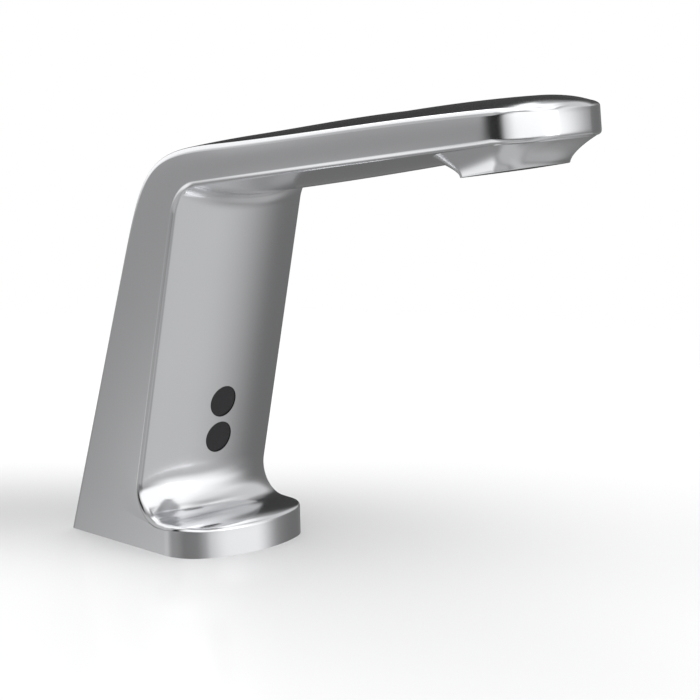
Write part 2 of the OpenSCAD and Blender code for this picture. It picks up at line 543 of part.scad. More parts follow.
// Coil spring of mean radius r, wire d, from z0 to z1 with n turns
module coil_spring(r, d, z0, z1, n) {
  steps = 12 * n;
  sides = 5;
  pts = [for (i = [0 : steps]) for (j = [0 : sides - 1])
    let (a = 360 * i / 12, b = 360 * j / sides, q = r + d / 2 * cos(b))
    [q * cos(a), q * sin(a), z0 + d / 2 + (z1 - z0 - d) * i / steps + d / 2 * sin(b)]];
  polyhedron(points = pts, faces = concat(
    [flip([for (j = [0 : sides - 1]) j])],
    [for (i = [0 : steps - 1]) for (j = [0 : sides - 1]) for (h = [0, 1])
      let (a = i * sides, b = a + sides, k = (j + 1) % sides)
      h == 0 ? [a + j, b + k, b + j] : [a + j, a + k, b + k]],
    [[for (j = [0 : sides - 1]) steps * sides + j]]), convexity = 10);
}
module base_plate() color([0.72, 0.58, 0.3]) difference() {
  round_plan(plate_w / 2, plate_back, plate_back + plate_depth, 3, plate_front_r, plate_h);
  translate([-inlet_x, yt(valve_t), -cut]) {
    cylinder(d = bush_w + 0.2, h = plate_h + 2 * cut);
    cylinder(d = bush_w + 2.2, h = 1.5 + cut);
  }
  for (k = [-1, 1]) translate([stud_x, k * stud_pitch / 2, -cut]) cylinder(d = stud_thread_d, h = plate_h + 2 * cut);
  translate([gland_x, gland_y, -cut]) {
    cylinder(d = gland_bore_d + 3, h = plate_h + 2 * cut);
    cylinder(d = gland_bore_d + 5, h = 1 + cut);
  }
  for (k = [-1, 1]) for (t = screw_ts) translate([k * screw_x, yt(t), -cut]) {
    cylinder(d = plate_screw_d + 0.4, h = plate_h + 2 * cut);
    cylinder(d = 7.6, h = 2.6 + cut);
  }
  for (k = [-3, 3]) translate([cradle_x, yt(valve_t) + k, 1.5]) cylinder(d = 3, h = plate_h);
}
bush_w = 12.8;
gland_x = -1;
gland_y = 12;
cradle_x = 12;
module plate_screws() color([0.6, 0.6, 0.62]) for (k = [-1, 1]) for (t = screw_ts) translate([k * screw_x, yt(t), 0]) difference() {
  union() {
    translate([0, 0, 0.3]) cylinder(d = 7, h = 2.3);
    translate([0, 0, 0.3]) cylinder(d = plate_screw_d - 0.1, h = boss_top - 2);
  }
  cylinder(d = 2.9, h = 1.5, $fn = 6);
}
module base_gasket() color([0.15, 0.15, 0.16]) difference() {
  round_plan(groove_in + gasket_w - 0.05, plate_back - 1.45 - gasket_w, plate_back + plate_depth + 1.45 + gasket_w,
    4.45 + gasket_w, plate_front_r + 1.45 + gasket_w, gasket_h);
  translate([0, 0, -cut]) round_plan(groove_in + 0.05, plate_back - 1.55, plate_back + plate_depth + 1.55, 4.55,
    plate_front_r + 1.55, gasket_h + 2 * cut);
}
thread_top = 6.2;
filter_h = 0.8;
filter_d = inlet_thread_d - 1.2;
bush_h = 9.5;
module at_inlet() translate([-inlet_x, yt(valve_t), 0]) children();
module inlet_connector() color([0.75, 0.62, 0.35]) at_inlet() difference() {
  union() {
    cylinder(d = bush_w + 2, h = 1.5);
    cylinder(d = bush_w, h = bush_h);
  }
  translate([0, 0, -cut]) cylinder(d = inlet_thread_d, h = thread_top + cut);
  cylinder(d = filter_d + 0.2, h = thread_top + filter_h);
  cylinder(d = 6, h = bush_h);
  translate([0, 0, 8]) cylinder(d = cage_d + 1, h = bush_h);
  translate([0, 0, bush_h - 0.9]) ring(2 * face_ring_r + ring_d + 0.2, 2 * face_ring_r - ring_d - 0.2, 2);
}
face_ring_r = 5.1;
module inlet_ring() color([0.1, 0.1, 0.1]) at_inlet() translate([0, 0, bush_h - 0.9 + ring_d / 2 - 0.15]) difference() {
  donut(face_ring_r, ring_d);
  translate([-10, -10, -2]) cube([20, 20, 2 - ring_d / 2 + 0.15]);
  translate([-10, -10, 0.9 - ring_d / 2 + 0.15]) cube([20, 20, 2]);
}
module inlet_filter() color([0.7, 0.7, 0.72]) at_inlet() translate([0, 0, thread_top]) union() {
  ring(filter_d, filter_d - 1.8, filter_h);
  intersection() {
    cylinder(d = filter_d - 1.4, h = filter_h);
    union() for (i = [-4 : 4]) {
      translate([i * 0.9 - 0.15, -4, 0.2]) cube([0.3, 8, 0.3]);
      translate([-4, i * 0.9 - 0.15, 0.4]) cube([8, 0.3, 0.3]);
    }
  }
}
cage_top = 16.8;
module check_valve_cage() color([0.9, 0.9, 0.88]) at_inlet() difference() {
  union() {
    translate([0, 0, 8]) cylinder(d = cage_d + 0.9, h = bush_h - 8);
    translate([0, 0, 8]) cylinder(d = cage_d, h = cage_top - 8);
  }
  translate([0, 0, 7]) cylinder(d = 4, h = 4);
  translate([0, 0, bush_h]) cylinder(d = cage_d - 1.2, h = cage_top - 1.3 - bush_h);
  translate([0, 0, cage_top - 2]) cylinder(d = poppet_stem_d + 0.16, h = 4);
  for (a = [0 : 120 : 240]) rotate([0, 0, a]) {
    translate([1.7, -0.8, cage_top - 2]) cube([1.4, 1.6, 4]);
    translate([1.5, -1.2, 12.2]) cube([4, 2.4, 2.6]);
  }
}
module check_valve_poppet() color([0.85, 0.3, 0.2]) at_inlet() {
  translate([0, 0, bush_h]) cylinder(d = 5.2, h = 1.1);
  translate([0, 0, bush_h]) cylinder(d = poppet_stem_d, h = 6.5);
}
module check_valve_spring() color([0.8, 0.8, 0.82]) at_inlet() coil_spring(1.8, 0.45, bush_h + 1.15, cage_top - 1.35, 3);
module cable_gland() color([0.14, 0.14, 0.15]) translate([gland_x, gland_y, 0]) difference() {
  union() {
    translate([0, 0, 0.1]) cylinder(d = gland_bore_d + 4.8, h = 0.9);
    translate([0, 0, 0.1]) cylinder(d = gland_bore_d + 2.9, h = plate_h + 1);
    translate([0, 0, plate_h]) cylinder(d = gland_bore_d + 4.8, h = 1.1);
  }
  translate([0, 0, -cut]) cylinder(d = gland_bore_d, h = plate_h + 3);
}
module valve_cradle() color([0.2, 0.22, 0.25]) difference() {
  union() {
    translate([-inlet_x, yt(valve_t) - 5.8, plate_h]) cube([15 + inlet_x, 11.6, 2]);
    at_inlet() translate([0, 0, plate_h]) cylinder(d = bush_w + 2.6, h = 2);
    for (x = cradle_arms) translate([x, yt(valve_t), plate_h]) intersection() {
      translate([0, -saddle_r, 0]) cube([6, 2 * saddle_r, valve_z - plate_h + 1.5]);
      translate([0, 0, valve_z - plate_h]) rotate([0, 90, 0]) cylinder(r = saddle_r, h = 6);
    }
    for (x = cradle_arms) translate([x, yt(valve_t) - 5.8, plate_h]) cube([6, 11.6, 5]);
  }
  translate([-30, yt(valve_t), valve_z]) rotate([0, 90, 0]) cylinder(d = valve_d + 0.1, h = 60);
  at_inlet() translate([0, 0, plate_h - 1]) cylinder(d = bush_w + 0.6, h = 12);
  at_inlet() translate([0, 0, plate_h + 2]) cylinder(d = 15, h = 12);
  for (k = [-3, 3]) translate([cradle_x, yt(valve_t) + k, plate_h - 1]) cylinder(d = 3.1, h = 4);
  for (k = [-3, 3]) translate([cradle_x, yt(valve_t) + k, plate_h + 1]) cylinder(d = 5.6, h = 12);
}
saddle_r = 11.7;
cradle_arms = [-4, 3];
module cradle_screws() color([0.6, 0.6, 0.62]) for (k = [-3, 3]) translate([cradle_x, yt(valve_t) + k, 0]) difference() {
  union() {
    translate([0, 0, 2]) cylinder(d = 2.9, h = plate_h + 1);
    translate([0, 0, plate_h + 1]) cylinder(d = 5.4, h = 2);
  }
  translate([0, 0, plate_h + 2]) cylinder(d = 2.4, h = 2, $fn = 6);
}
// Places along the valve axis, measured from the deck hole axis
valve_face = -6;
valve_rear = valve_face - valve_l;
bonnet_face = valve_face + bonnet_l;
diaphragm_d = 14.4;
bonnet_screw_r = 8.5;
bonnet_screw_d = 2;
spigot_x = -17.5;
socket_z = 30.5;
spigot_z = 38;
insert_top = valve_face + diaphragm_h + 1.2;
tube_flange = valve_face + diaphragm_h + 3.4;
plunger_from = insert_top + 0.55;
core_from = plunger_from + plunger_l + plunger_travel + 0.05;
core_to = core_from + core_l;
magnet_h = 2.5;
tube_end = core_to + magnet_h + 0.5;
module bonnet_places() for (a = [45 : 90 : 315]) rotate([0, 0, a]) translate([bonnet_screw_r, 0, 0]) children();
module valve_body() color([0.82, 0.82, 0.8]) difference() {
  union() {
    at_valve() difference() {
      translate([0, 0, valve_rear]) cylinder(d = valve_d, h = valve_l);
      translate([0, 0, valve_face - chamber_l]) ring(chamber_d, seat_bore_d + 2 * seat_wall, chamber_l + cut);
    }
    translate([spigot_x, yt(valve_t), valve_z]) cylinder(d = spigot_d, h = spigot_z - valve_z);
    at_inlet() translate([0, 0, bush_h]) intersection() {
      cylinder(d = 14, h = 4.5);
      translate([-10, -10, 0]) cube([10 + valve_face + inlet_x, 20, 5]);
    }
  }
  at_valve() translate([0, 0, spigot_x - 2]) cylinder(d = seat_bore_d, h = valve_face - spigot_x + 2 + cut);
  translate([spigot_x, yt(valve_t), valve_z]) cylinder(d = water_bore_d, h = 20);
  translate([spigot_x, yt(valve_t), socket_z]) cylinder(d = water_tube_d + 0.1, h = 20);
  translate([spigot_x, yt(valve_t), spigot_z - 2.6]) cylinder(d = water_tube_d + 2 * ring_d, h = 1.4);
  at_inlet() translate([0, 0, bush_h - cut]) cylinder(d = cage_d + 0.2, h = cage_top - bush_h + cut);
  at_valve() bonnet_places() translate([0, 0, valve_face - 6]) cylinder(d = bonnet_screw_d, h = 6 + cut);
}
module diaphragm() color([0.12, 0.12, 0.13]) at_valve() translate([0, 0, valve_face]) ring(diaphragm_d, 4, diaphragm_h);
module diaphragm_insert() color([0.9, 0.9, 0.85]) at_valve() difference() {
  union() {
    translate([0, 0, valve_face + diaphragm_h]) cylinder(d = 8, h = 1.2);
    translate([0, 0, valve_face - 0.6]) cylinder(d = 3.9, h = 2.6);
  }
  translate([0, 0, valve_face - 2]) cylinder(d = 0.9, h = 6);
}
module valve_bonnet() color([0.3, 0.32, 0.36]) at_valve() difference() {
  translate([0, 0, valve_face]) cylinder(d = valve_d, h = bonnet_l);
  translate([0, 0, valve_face - cut]) cylinder(d = diaphragm_d + 0.2, h = diaphragm_h + cut);
  translate([0, 0, valve_face]) cylinder(d = 12.2, h = tube_flange + 1 - valve_face);
  translate([0, 0, valve_face]) cylinder(d = tube_d + 0.1, h = bonnet_l + cut);
  bonnet_places() translate([0, 0, valve_face - cut]) {
    cylinder(d = bonnet_screw_d + 0.3, h = bonnet_l + 2 * cut);
    translate([0, 0, bonnet_l - 2.2 + cut]) cylinder(d = 3.9, h = 4);
  }
}
module bonnet_screws() color([0.6, 0.6, 0.62]) at_valve() bonnet_places() difference() {
  union() {
    translate([0, 0, bonnet_face - 2.2]) cylinder(d = 3.6, h = 1.6);
    translate([0, 0, valve_face - 5]) cylinder(d = bonnet_screw_d - 0.1, h = bonnet_l + 3.5);
  }
  translate([0, 0, bonnet_face - 1.5]) cylinder(d = 1.7, h = 2, $fn = 6);
}
module plunger_tube() color([0.75, 0.76, 0.78]) at_valve() difference() {
  union() {
    translate([0, 0, tube_flange]) cylinder(d = 12, h = 1);
    translate([0, 0, tube_flange]) cylinder(d = tube_d, h = tube_end - tube_flange + tube_wall);
  }
  translate([0, 0, tube_flange - cut]) cylinder(d = tube_d - 2 * tube_wall, h = tube_end - tube_flange + cut);
}
plunger_d = tube_d - 2 * tube_wall - 2 * plunger_gap;
module plunger() color([0.68, 0.69, 0.72]) at_valve() difference() {
  translate([0, 0, plunger_from]) cylinder(d = plunger_d, h = plunger_l);
  translate([0, 0, plunger_from - cut]) cylinder(d = 3.4, h = 1.6 + cut);
  translate([0, 0, plunger_from + plunger_l - 6]) cylinder(d = 4.4, h = 6 + cut);
  for (a = [0, 180]) rotate([0, 0, a]) translate([plunger_d / 2 - 0.6, -0.6, plunger_from - cut]) cube([2, 1.2, plunger_l + 2 * cut]);
}
module plunger_tip() color([0.1, 0.1, 0.1]) at_valve() translate([0, 0, insert_top]) cylinder(d = 3.4, h = plunger_from + 1.6 - insert_top);
module plunger_spring() color([0.8, 0.8, 0.82]) at_valve() coil_spring(1.7, 0.5, plunger_from + plunger_l - 5.95, core_from - 0.05, 6);
module fixed_core() color([0.66, 0.67, 0.7]) at_valve() translate([0, 0, core_from]) cylinder(d = tube_d - 2 * tube_wall - 0.1, h = core_l);
module latch_magnet() color([0.35, 0.36, 0.38]) at_valve() translate([0, 0, core_to]) cylinder(d = tube_d - 2 * tube_wall - 0.2, h = magnet_h);
coil_from = bonnet_face + 0.1;
module coil_bobbin() color([0.85, 0.85, 0.8]) at_valve() translate([0, 0, coil_from]) difference() {
  union() {
    cylinder(d = tube_d + 2.2, h = bobbin_l);
    for (z = [0, bobbin_l - bobbin_flange]) translate([0, 0, z]) cylinder(d = valve_d - 2 * yoke_wall - 0.4, h = bobbin_flange);
  }
  translate([0, 0, -cut]) cylinder(d = tube_d + 0.2, h = bobbin_l + 2 * cut);
}
module coil_winding() color([0.72, 0.4, 0.2]) at_valve() translate([0, 0, coil_from + bobbin_flange]) ring(winding_d, tube_d + 2.3, bobbin_l - 2 * bobbin_flange);
yoke_to = coil_from + bobbin_l + yoke_wall;
module coil_yoke() color([0.45, 0.47, 0.5]) at_valve() difference() {
  translate([0, 0, bonnet_face]) cylinder(d = valve_d, h = yoke_to - bonnet_face);
  translate([0, 0, bonnet_face - cut]) cylinder(d = valve_d - 2 * yoke_wall, h = yoke_to - yoke_wall - bonnet_face + cut);
  cylinder(d = tube_d + 0.1, h = 40);
  translate([-valve_d, -3, bonnet_face - cut]) cube([valve_d, 6, 4]);
}
module coil_nut() color([0.6, 0.6, 0.62]) at_valve() translate([0, 0, yoke_to]) difference() {
  cylinder(d = 14, h = 1.1);
  translate([0, 0, -cut]) cylinder(d = tube_d + 0.1, h = 3);
  for (a = [0 : 60 : 300]) rotate([0, 0, a]) translate([tube_d / 2, -0.5, -cut]) cube([1.4, 1, 3]);
}
// Water tube: up from the valve, round the inner corner and out along the spout
way_a = [spigot_x, yt(valve_t), spigot_z + 2];
way_b = [-15.5, yt(29), 62];
way_c = [-10, yt(42.5), 106];
way_d = [-0.5, yt(66), 123.7];
way_e = [0, yt(outlet_t) + tube_rise * sin(outlet_tilt) + 4.8 * cos(outlet_tilt),
         outlet_z + tube_rise * cos(outlet_tilt) - 4.8 * sin(outlet_tilt)];
way_start = [spigot_x, yt(valve_t), socket_z + 0.1];
way_up = [0, 0, 1];
way_rise = unit2(way_c - way_b);
way_out = unit2(way_e - way_d);
function bend3(a, da, b, db, n) = let (k = norm(b - a) * 0.36)
  [for (i = [0 : n]) let (u = i / n) curve(a, a + da * k, b - db * k, b, u)];
way = concat([way_start], bend3(way_a, way_up, way_b, way_rise, 6), bend3(way_c, way_rise, way_d, way_out, 10), [way_e]);
way_n = len(way);
way_sides = 14;
function way_dir(i) = i == 0 ? way_up : i == way_n - 1 ? way_out : unit2(unit2(way[i + 1] - way[i]) + unit2(way[i] - way[i - 1]));
function way_ring(i, r) = let (d = way_dir(i), u = unit2(cross(d, [1, 0, 0])), v = cross(d, u))
  [for (j = [0 : way_sides - 1]) let (a = 360 * j / way_sides) way[i] + r / cos(180 / way_sides) * (cos(a) * u + sin(a) * v)];
module water_tube() color([0.9, 0.9, 0.86]) polyhedron(
  points = concat([for (i = [0 : way_n - 1]) for (p = way_ring(i, water_tube_d / 2 - 0.04)) p],
                  [for (i = [0 : way_n - 1]) for (p = way_ring(i, water_bore_d / 2)) p]),
  faces = concat(
    [for (i = [0 : way_n - 2]) for (j = [0 : way_sides - 1]) for (h = [0 : 3])
      let (a = i * way_sides, b = a + way_sides, k = (j + 1) % way_sides, o = way_n * way_sides)
      h == 0 ? [a + j, b + j, b + k] : h == 1 ? [a + j, b + k, a + k] :
      h == 2 ? [o + a + j, o + b + k, o + b + j] : [o + a + j, o + a + k, o + b + k]],
    [for (j = [0 : way_sides - 1]) for (h = [0 : 3])
      let (k = (j + 1) % way_sides, o = way_n * way_sides, e = (way_n - 1) * way_sides)
      h == 0 ? [j, k, o + k] : h == 1 ? [j, o + k, o + j] :
      h == 2 ? [e + k, e + j, o + e + j] : [e + k, o + e + j, o + e + k]]), convexity = 10);
module outlet_ring() color([0.1, 0.1, 0.1]) translate([spigot_x, yt(valve_t), spigot_z - 1.9]) donut(water_tube_d / 2 + ring_d / 2 + 0.02, ring_d - 0.08);
bush_from = jet_thread_top + jet_seal_h;
module nozzle_bush() color([0.88, 0.88, 0.85]) at_outlet() difference() {
  translate([0, 0, bush_from]) cylinder(d = bush_d, h = bush_top - bush_from);
  translate([0, 0, bush_from - cut]) cylinder(d = bush_bore_d, h = bush_top - bush_from - 0.8);
  translate([0, 0, tube_rise]) rotate([-90, 0, 0]) cylinder(d = water_tube_d + 0.1, h = 16);
  translate([0, 0, bush_from + 0.5]) ring(bush_d + 1, bush_d - 2 * ring_d - 0.1, ring_d + 0.1);
}
module bush_ring() color([0.1, 0.1, 0.1]) at_outlet() translate([0, 0, bush_from + 0.55 + ring_d / 2]) donut(bush_d / 2 - ring_d / 2 + 0.05, ring_d);
module jet_seal() color([0.12, 0.12, 0.13]) at_outlet() translate([0, 0, jet_thread_top]) ring(bush_d, bush_bore_d + 2, jet_seal_h);
jet_ledge = 2.1;
screen_h = 0.35;
module jet_housing() color([0.2, 0.2, 0.21]) at_outlet() difference() {
  translate([0, 0, recess_h + 0.1]) cylinder(d = jet_thread_d - 0.1, h = jet_thread_top - recess_h - 0.1);
  translate([0, 0, -cut]) cylinder(d = jet_thread_d - 3.4, h = 8);
  translate([0, 0, jet_ledge]) cylinder(d = jet_thread_d - 2.1, h = 8);
}
module jet_plate() color([0.85, 0.85, 0.82]) at_outlet() difference() {
  translate([0, 0, jet_ledge + 2 * screen_h + 0.1]) cylinder(d = jet_thread_d - 2.2, h = jet_thread_top - jet_ledge - 2 * screen_h - 0.2);
  translate([0, 0, jet_ledge]) cylinder(d = 1.4, h = 8);
  for (k = [1, 2]) for (a = [0 : 60 / k : 359]) rotate([0, 0, a]) translate([2.7 * k, 0, jet_ledge]) cylinder(d = 1.4, h = 8);
}
module jet_screens() color([0.5, 0.5, 0.52]) at_outlet() for (z = [jet_ledge, jet_ledge + screen_h + 0.05]) translate([0, 0, z]) union() {
  ring(jet_thread_d - 2.2, jet_thread_d - 4, screen_h);
  intersection() {
    cylinder(d = jet_thread_d - 3.9, h = screen_h);
    union() for (i = [-3 : 3]) {
      translate([i * 1.7 - 0.2, -8, 0]) cube([0.4, 16, screen_h]);
      translate([-8, i * 1.7 - 0.2, 0]) cube([16, 0.4, screen_h]);
    }
  }
}
flange_z = seat_d + lens_gasket_h;
module lens() union() {
  translate([0, 0, -flange_z]) cylinder(d = lens_d, h = flange_z - lens_set);
  translate([0, 0, -flange_z - 1.2]) cylinder(d = 11.6, h = 1.2);
}
module upper_lens() color([0.05, 0.05, 0.06]) at_sensor() translate([0, lens_pitch / 2, 0]) lens();
module lower_lens() color([0.05, 0.05, 0.06]) at_sensor() translate([0, -lens_pitch / 2, 0]) lens();
module soft_plate(x, y, r, h) linear_extrude(height = h) union() {
  translate([-x + r, -y]) square([2 * x - 2 * r, 2 * y]);
  translate([-x, -y + r]) square([2 * x, 2 * y - 2 * r]);
  for (a = [-1, 1]) for (b = [-1, 1]) translate([a * (x - r), b * (y - r)]) circle(r = r);
}
module lens_gasket() color([0.16, 0.16, 0.17]) at_sensor() difference() {
  translate([0, 0, -flange_z]) soft_plate(sensor_w / 2, sensor_l / 2, 1.5, lens_gasket_h);
  for (k = [-1, 1]) translate([0, k * lens_pitch / 2, -6]) cylinder(d = lens_d + 0.3, h = 8);
}
sensor_back = flange_z + sensor_h;
board_z = flange_z + 6.2;
post_x = sensor_w / 2 - sensor_wall - 1.4;
post_y = sensor_l / 2 - sensor_wall - 1.4;
module sensor_posts(z0, h) for (a = [-1, 1]) for (b = [-1, 1]) translate([a * post_x, b * post_y, z0]) cylinder(d = 2.2, h = h);
module sensor_housing() color([0.13, 0.13, 0.14]) at_sensor() union() {
  difference() {
    union() {
      translate([0, 0, -sensor_back]) soft_plate(sensor_w / 2, sensor_l / 2, 1.5, sensor_h);
      for (k = [-1, 1]) translate([k == 1 ? sensor_w / 2 - 1 : -lug_x - 3.2, -3.2, -9.2]) cube([lug_x + 3.2 - sensor_w / 2 + 1, 6.4, 2.2]);
    }
    for (k = [-1, 1]) translate([0, k * lens_pitch / 2, 0]) {
      translate([0, 0, -flange_z - 1.25]) cylinder(d = 11.8, h = 4);
      translate([0, 0, -8]) cylinder(d = 6, h = 4);
    }
    translate([0, 0, -sensor_back - cut]) soft_plate(sensor_w / 2 - sensor_wall, sensor_l / 2 - sensor_wall, 0.6, sensor_h - 2.6 + cut);
    for (k = [-1, 1]) translate([k * lug_x, 0, -12]) cylinder(d = 3.3, h = 8);
  }
  sensor_posts(-board_z, board_z - flange_z - 2);
}
module ir_emitter() color([0.2, 0.15, 0.3]) at_sensor() translate([0, lens_pitch / 2, -board_z]) union() {
  cylinder(d = 5.6, h = 0.9);
  cylinder(d = 4.8, h = 1.8);
  translate([0, 0, 2.35]) sphere(d = 4.6);
}
module ir_receiver() color([0.1, 0.1, 0.12]) at_sensor() translate([0, -lens_pitch / 2, -board_z]) union() {
  translate([-2.5, -3, 0]) cube([5, 6, 2.4]);
  translate([0, 0, 2.4]) sphere(d = 3.4);
}
module circuit_board() color([0.1, 0.4, 0.2]) at_sensor() difference() {
  union() {
    translate([0, 0, -board_z - board_h]) soft_plate(sensor_w / 2 - sensor_wall - 0.2, sensor_l / 2 - sensor_wall - 0.2, 0.5, board_h);
    translate([-6.5, -2, -board_z - 0.1]) cube([4, 4, 1.1]);
    translate([2.5, -1.5, -board_z - 0.1]) cube([4, 3, 1.5]);
  }
  translate([0, 0, -board_z - 3]) cylinder(d = 1, h = 6);
}
module sensor_cover() color([0.17, 0.17, 0.18]) at_sensor() difference() {
  union() {
    translate([0, 0, -sensor_back - 1]) soft_plate(sensor_w / 2, sensor_l / 2, 1.5, 1);
    sensor_posts(-sensor_back - 0.5, sensor_back + 0.5 - board_z - board_h);
  }
  translate([0, -7, -sensor_back - 2]) cylinder(d = 3.5, h = 3);
}
module sensor_screws() color([0.6, 0.6, 0.62]) at_sensor() for (k = [-1, 1]) translate([k * lug_x, 0, 0]) difference() {
  union() {
    translate([0, 0, -11.2]) cylinder(d = 5.4, h = 2);
    translate([0, 0, -9.5]) cylinder(d = sensor_screw_d - 0.1, h = 6);
  }
  translate([0, 0, -12]) cylinder(d = 2.2, h = 1.8, $fn = 6);
}
body();
base_plate();
plate_screws();
base_gasket();
inlet_connector();
inlet_ring();
inlet_filter();
check_valve_cage();
check_valve_poppet();
check_valve_spring();
cable_gland();
valve_cradle();
cradle_screws();
valve_body();
diaphragm();
diaphragm_insert();
valve_bonnet();
bonnet_screws();
plunger_tube();
plunger();
plunger_tip();
plunger_spring();
fixed_core();
latch_magnet();
coil_bobbin();
coil_winding();
coil_yoke();
coil_nut();
water_tube();
outlet_ring();
nozzle_bush();
bush_ring();
jet_seal();
jet_housing();
jet_plate();
jet_screens();
upper_lens();
lower_lens();
lens_gasket();
sensor_housing();
ir_emitter();
ir_receiver();
circuit_board();
sensor_cover();
sensor_screws();
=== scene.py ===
"""Dressed model of a deck mounted sensor tap, in metres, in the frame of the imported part.

x runs across the tap, the spout points to -y and z is up from the deck. Inside the shape
functions, t is the distance forward from the back edge of the flat side: y = axis_back - t.
"""
import json
import math

import bmesh
import bpy
import numpy as np
from bpy.props import FloatProperty, FloatVectorProperty, IntProperty, PointerProperty
from mathutils import Matrix, Vector


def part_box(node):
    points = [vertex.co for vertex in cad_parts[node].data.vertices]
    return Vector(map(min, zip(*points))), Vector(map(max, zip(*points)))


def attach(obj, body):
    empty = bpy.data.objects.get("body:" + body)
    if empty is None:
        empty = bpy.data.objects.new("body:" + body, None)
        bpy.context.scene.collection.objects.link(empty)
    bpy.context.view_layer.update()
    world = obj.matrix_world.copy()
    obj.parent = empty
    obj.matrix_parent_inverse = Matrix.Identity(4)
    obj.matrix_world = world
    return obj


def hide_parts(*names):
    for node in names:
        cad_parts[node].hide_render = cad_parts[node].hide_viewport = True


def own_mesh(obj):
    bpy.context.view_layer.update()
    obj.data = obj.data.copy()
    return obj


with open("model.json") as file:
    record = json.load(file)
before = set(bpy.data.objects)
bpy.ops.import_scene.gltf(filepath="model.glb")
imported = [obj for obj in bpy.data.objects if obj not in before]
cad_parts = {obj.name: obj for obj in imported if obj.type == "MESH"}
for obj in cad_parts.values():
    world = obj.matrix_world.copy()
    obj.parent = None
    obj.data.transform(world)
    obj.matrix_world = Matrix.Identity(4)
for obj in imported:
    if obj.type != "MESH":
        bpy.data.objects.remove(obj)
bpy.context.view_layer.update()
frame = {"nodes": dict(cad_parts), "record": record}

bl_info = {
    "name": "Sensor Tap",
    "version": (1, 0, 0),
    "blender": (4, 5, 0),
    "location": "3D View > Sidebar > Sensor Tap",
    "description": "Builds the casting, the springs, all finishes and the studio",
    "category": "Object",
}

MM = 0.001


def length(name, text, mm):
    """Property for a length, given in millimetres."""
    return FloatProperty(name=name, description=text, default=mm * MM, unit="LENGTH", precision=5)


def angle(name, text, degrees):
    """Property for an angle, given in degrees."""
    return FloatProperty(name=name, description=text, default=math.radians(degrees), subtype="ANGLE")


def colour(name, text, rgb):
    """Property for a colour."""
    return FloatVectorProperty(name=name, description=text, default=rgb, subtype="COLOR",
                               min=0.0, max=1.0)


def amount(name, text, value):
    """Property for a share from 0 to 1."""
    return FloatProperty(name=name, description=text, default=value, min=0.0, max=1.0)


def count(name, text, number):
    """Property for a whole number."""
    return IntProperty(name=name, description=text, default=number, min=0)


